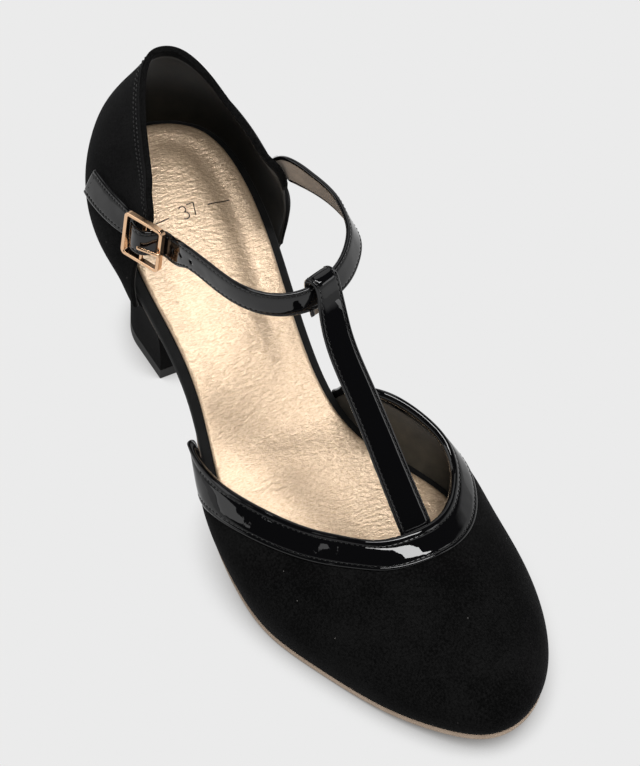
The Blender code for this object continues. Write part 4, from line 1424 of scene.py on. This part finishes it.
def tab_path():
    turns = np.linspace(TAB_REAR_TURN, TAB_FRONT_TURN, TAB_COUNT)
    middle = np.linspace(TAB_REAR_UP, TAB_FRONT_UP, TAB_COUNT)
    points, across = on_counter(turns, middle, TAB_NEAR, GAP + 0.5 * TAB_THICK + TAB_LIFT)
    return np.concatenate([points, -across], 1)


def make_tab():
    path = tab_path()
    rings, lined = strap_sections(path, TAB_WIDTH)
    sweep("patent_tab", rounded_ends(rings, STRAP_END), [patent, taupe_lining], lined,
          node="buckle_tab", slot="black_patent")
    rows = strap_rows(path, TAB_WIDTH, 3, -1)
    ends = np.array([line[0] for line, _ in rows])
    outs = np.array([out[0] for _, out in rows])
    add_stitches("tab_stitches", rows + [(ends, outs)])


make_tab()

# %% [markdown]
# The buckle is a rectangular frame with flat sides, cast with its pin. Its section is a
# bevelled rectangle swept round the rounded corners, and the pin and the prong are rods.

# %% Buckle
BAR_BEVEL = 0.2
BAR_ACROSS = 0.78 * BAR
BAR_DEEP = 1.3 * BAR
FRAME_CORNER = 1.2 * MM
CORNER_STEPS = 7
POLISHED_EDGE = 0.12 * MM
PRONG = 1.3 * MM
PRONG_FROM_PIN = 1.2 * MM
PRONG_PAST_BAR = 0.9 * MM
PRONG_LIFT = 0.1 * MM
PRONG_ROUND = 0.5 * MM
ROD_RINGS = 9
ROD_SIDES = 16


def bar_section(width, depth):
    """An eight-cornered bar section: a rectangle whose corners are cut off."""
    a, b = 0.5 * width, 0.5 * depth
    c = BAR_BEVEL * min(width, depth)
    half = [(a, b - c), (a - c, b), (c - a, b), (-a, b - c)]
    return half + [(-across, -lift) for across, lift in half]


def rod_rings(start, end, thick, outward):
    """Rings of a round rod from start to end."""
    side = np.cross(unit(end - start), outward)
    return np.array([
        circle(start + (end - start) * share, side, outward, 0.5 * thick, ROD_SIDES)
        for share in np.linspace(0, 1, ROD_RINGS)
    ])


def frame_line(length, width):
    """The frame's middle line as flat points: a rectangle with round corners."""
    line = []
    for sign_along, sign_up, first in ((1, -1, -90), (1, 1, 0), (-1, 1, 90), (-1, -1, 180)):
        for angle in np.radians(first + np.linspace(0, 90, CORNER_STEPS)):
            line.append((
                sign_along * (0.5 * length - FRAME_CORNER) + FRAME_CORNER * np.cos(angle),
                sign_up * (0.5 * width - FRAME_CORNER) + FRAME_CORNER * np.sin(angle),
            ))
    return np.array(line)


def make_buckle_frame():
    rear, forward, upward, outward = buckle_axes()
    length, width = FRAME_LENGTH - BAR, FRAME_WIDTH - BAR
    centre = rear + forward * 0.5 * length
    line = frame_line(length, width)
    section = bar_section(BAR_ACROSS, BAR_DEEP)
    points = []
    for i, place in enumerate(line):
        heading = unit(line[(i + 1) % len(line)] - line[i - 1])
        normal = np.array([heading[1], -heading[0]])
        for across, lift in section:
            flat = place + normal * across
            points.append(centre + forward * flat[0] + upward * flat[1] + outward * lift)
    faces, _ = ring_faces(len(line), len(section), joined=True)
    pin = rod_rings(centre - upward * 0.5 * width, centre + upward * 0.5 * width, PIN, outward)
    faces += ring_faces(*pin.shape[:2], first=len(points))[0]
    points = np.concatenate([np.array(points), pin.reshape(-1, 3)])
    piece = add_piece("buckle_ring", points, faces, [rose_gold], [0] * len(faces),
                      node="buckle_frame", slot="rose_gold_metal")
    bevel_edges(piece, POLISHED_EDGE, 2, 30)


def make_prong():
    """The prong lies on the strap over the pin, and its tip on the front bar."""
    rear, forward, _, outward = buckle_axes()
    length = FRAME_LENGTH - BAR
    over_pin = 0.5 * PIN + GAP + STRAP_THICK + GAP + 0.5 * PRONG
    over_bar = 0.5 * BAR + GAP + 0.5 * PRONG + PRONG_LIFT
    start = rear + forward * (0.5 * length + PRONG_FROM_PIN) + outward * over_pin
    end = rear + forward * (length + PRONG_PAST_BAR) + outward * over_bar
    prong = rounded_ends(rod_rings(start, end, PRONG, outward), PRONG_ROUND)
    sweep("buckle_tongue", prong, [rose_gold], node="buckle_prong", slot="rose_gold_metal")


make_buckle_frame()
make_prong()

# %% [markdown]
# The size is stamped on the sock between two dashes. Each stroke is a thin ribbon laid
# on the sock's crown. The strokes are drawn in millimetres on a little plane whose
# axes run across and along the foot, and then dropped on the sock.

# %% Size stamp
STAMP_AT = (43.8 * MM, -2.1 * MM)
STAMP_STROKE = 0.42 * MM
STAMP_LIFT = 0.04 * MM
STAMP_STEP = 0.25
ARC_COUNT = 12
DIGIT_HEIGHT = 4.8


def arc(centre, radius, start, end):
    angles = np.radians(np.linspace(start, end, ARC_COUNT))
    return centre + radius * np.stack([np.cos(angles), np.sin(angles)], 1)


def digit_strokes():
    """The strokes of the size and its dashes, in millimetres, reading left to right."""
    three = np.concatenate([arc((-1.6, 3.62), 1.12, 150, -80), arc((-1.6, 1.32), 1.3, 80, -150)])
    seven = np.array([(0.4, DIGIT_HEIGHT), (2.9, DIGIT_HEIGHT), (1.5, 0.0)])
    dash = np.array([(0.0, 0.5 * DIGIT_HEIGHT), (8.2, 0.5 * DIGIT_HEIGHT)])
    return [three, seven, dash - (15.0, 0), dash + (6.9, 0)]


def on_sock(across, along):
    """A point of the sock's top, a hair above it, and its upward direction."""
    plan = np.stack([along, across], -1)
    ends = []
    for side in (1, -1):
        turns = np.linspace(1, 179, 400)
        rail, _ = outline(turns if side > 0 else 360 - turns, -SOCK_MARGIN - 0.6 * SOCK_THICK)
        ends.append(np.interp(along, rail[:, 0], rail[:, 1]))
    share = (ends[0] - across) / (ends[0] - ends[1])
    points = raised(plan, SOCK_LEVEL + SOCK_THICK)
    medial = raised(np.stack([along, ends[0]], -1), 0)
    lateral = raised(np.stack([along, ends[1]], -1), 0)
    lift = [
        sock_relief(points[i:i + 1], medial[i:i + 1], lateral[i:i + 1], share[i])[0]
        for i in range(len(points))
    ]
    return points + np.array(lift) + (0, 0, STAMP_LIFT)


def make_stamp():
    points, faces = [], []
    for stroke in digit_strokes():
        length = np.linalg.norm(np.diff(stroke, axis=0), axis=1).sum()
        fine = along_line(stroke, stroke, np.arange(0, length, STAMP_STEP))
        heading = unit(np.gradient(fine, axis=0))
        side = np.stack([-heading[:, 1], heading[:, 0]], 1) * 0.5 * STAMP_STROKE / MM
        first = len(points)
        edges = []
        for edge in (fine + side, fine - side):
            edges.append(on_sock(STAMP_AT[1] + edge[:, 0] * MM, STAMP_AT[0] - edge[:, 1] * MM))
        points += list(np.stack(edges, 1).reshape(-1, 3))
        for i in range(len(fine) - 1):
            a = first + 2 * i
            faces.append([a, a + 1, a + 3, a + 2])
    add_piece("size_stamp", points, faces, [stamp_ink], [0] * len(faces))


make_stamp()
print("digits are", DIGIT_HEIGHT, "mm tall")

# %% [markdown]
# The studio has a plain pale floor that runs out of sight. The floor glows evenly, and its
# contact shadow round the shoe is painted shade: darker where ambient occlusion finds the
# shoe close. What patent shows is the room: an overhead strip lies on the binding as its
# bright line, and soft boxes at the lateral, back and medial sides are its grey fields. The
# key light only brightens what is matt, because a real studio would keep it out of the
# patent by a flag.

# %% Floor
FLOOR_HALF = 3.0
FLOOR_COLOUR = "ebebeb"
# Colour and reach of the painted contact shadow on the glowing floor.
PAINTED_SHADOW_COLOUR = "57534f"
PAINTED_SHADOW_REACH = 24 * MM


def make_floor():
    look, tree, shader, _ = new_material(
        "floor_with_painted_shadow", Base_Color=BLACK, Roughness=1.0, Specular_IOR_Level=0.0,
        Emission_Strength=1.0,
    )
    # Painted shadow: the floor's glow turns to the dark colour where the shoe is close.
    closeness = add_node(tree, "AmbientOcclusion", {"Distance": PAINTED_SHADOW_REACH}, samples=24)
    pale = add_node(tree, "ValToRGB", {"Fac": closeness.outputs["AO"]}, stops=(
        (0.12, linear(PAINTED_SHADOW_COLOUR)), (0.72, linear(FLOOR_COLOUR)),
    ))
    feed(shader, {"Emission Color": pale})
    mesh = bpy.data.meshes.new("floor_with_painted_shadow")
    signs = ((-1, -1), (1, -1), (1, 1), (-1, 1))
    mesh.from_pydata([(x * FLOOR_HALF, y * FLOOR_HALF, 0) for x, y in signs], [], [(0, 1, 2, 3)])
    mesh.materials.append(look)
    floor = bpy.data.objects.new("floor_with_painted_shadow", mesh)
    bpy.context.scene.collection.objects.link(floor)


make_floor()

# %% [markdown]
# Each light is a white rectangle that faces the shoe. Its strength is written as the
# radiance of its face, so a change of its size leaves its reflection as bright.

# %% Lights and world
LIGHT_COLUMNS = ("name", "toward", "distance", "size", "radiance")
LIGHTS = (
    ("overhead_strip", (0.10, 0.12, 0.98), 1.3, (0.22, 1.35), 14),
    ("lateral_softbox", (-0.46, -0.69, 0.56), 1.5, (1.1, 0.8), 1.3),
    ("back_softbox", (-0.57, 0.35, 0.74), 1.4, (0.8, 0.8), 0.8),
    ("medial_softbox", (0.58, 0.70, 0.42), 1.4, (0.4, 0.3), 2.1),
    ("key_light", (0.60, -0.22, 0.77), 1.5, (0.5, 0.5), 18),
)
HORIZON_STOPS = ((0.25, (0.60, 0.60, 0.60, 1)), (0.45, (0.03, 0.03, 0.03, 1)))


def soft_light(name, toward, distance, size, radiance):
    """A rectangular area light in a direction from the shoe, facing it."""
    data = bpy.data.lights.new(name, "AREA")
    data.shape = "RECTANGLE"
    data.size, data.size_y = size
    data.energy = radiance * np.pi * size[0] * size[1]
    light = bpy.data.objects.new(name, data)
    direction = Vector(toward).normalized()
    light.location = CAMERA_TARGET + direction * distance
    light.rotation_euler = direction.to_track_quat("Z", "Y").to_euler()
    bpy.context.scene.collection.objects.link(light)
    return light


def make_world():
    """A room that is grey low down and dark overhead."""
    world = bpy.data.worlds.new("studio")
    world.use_nodes = True
    tree = world.node_tree
    height = add_node(tree, "SeparateXYZ", {"Vector": add_node(tree, "TexCoord")}).outputs["Z"]
    shade = add_node(tree, "ValToRGB", {"Fac": height}, stops=HORIZON_STOPS)
    feed(tree.nodes["Background"], {"Color": shade, "Strength": 1.0})
    bpy.context.scene.world = world


lights = {row[0]: soft_light(**dict(zip(LIGHT_COLUMNS, row))) for row in LIGHTS}
lights["key_light"].visible_glossy = False
make_world()
bpy.context.scene.view_settings.view_transform = "Standard"
print("lights:", list(lights))
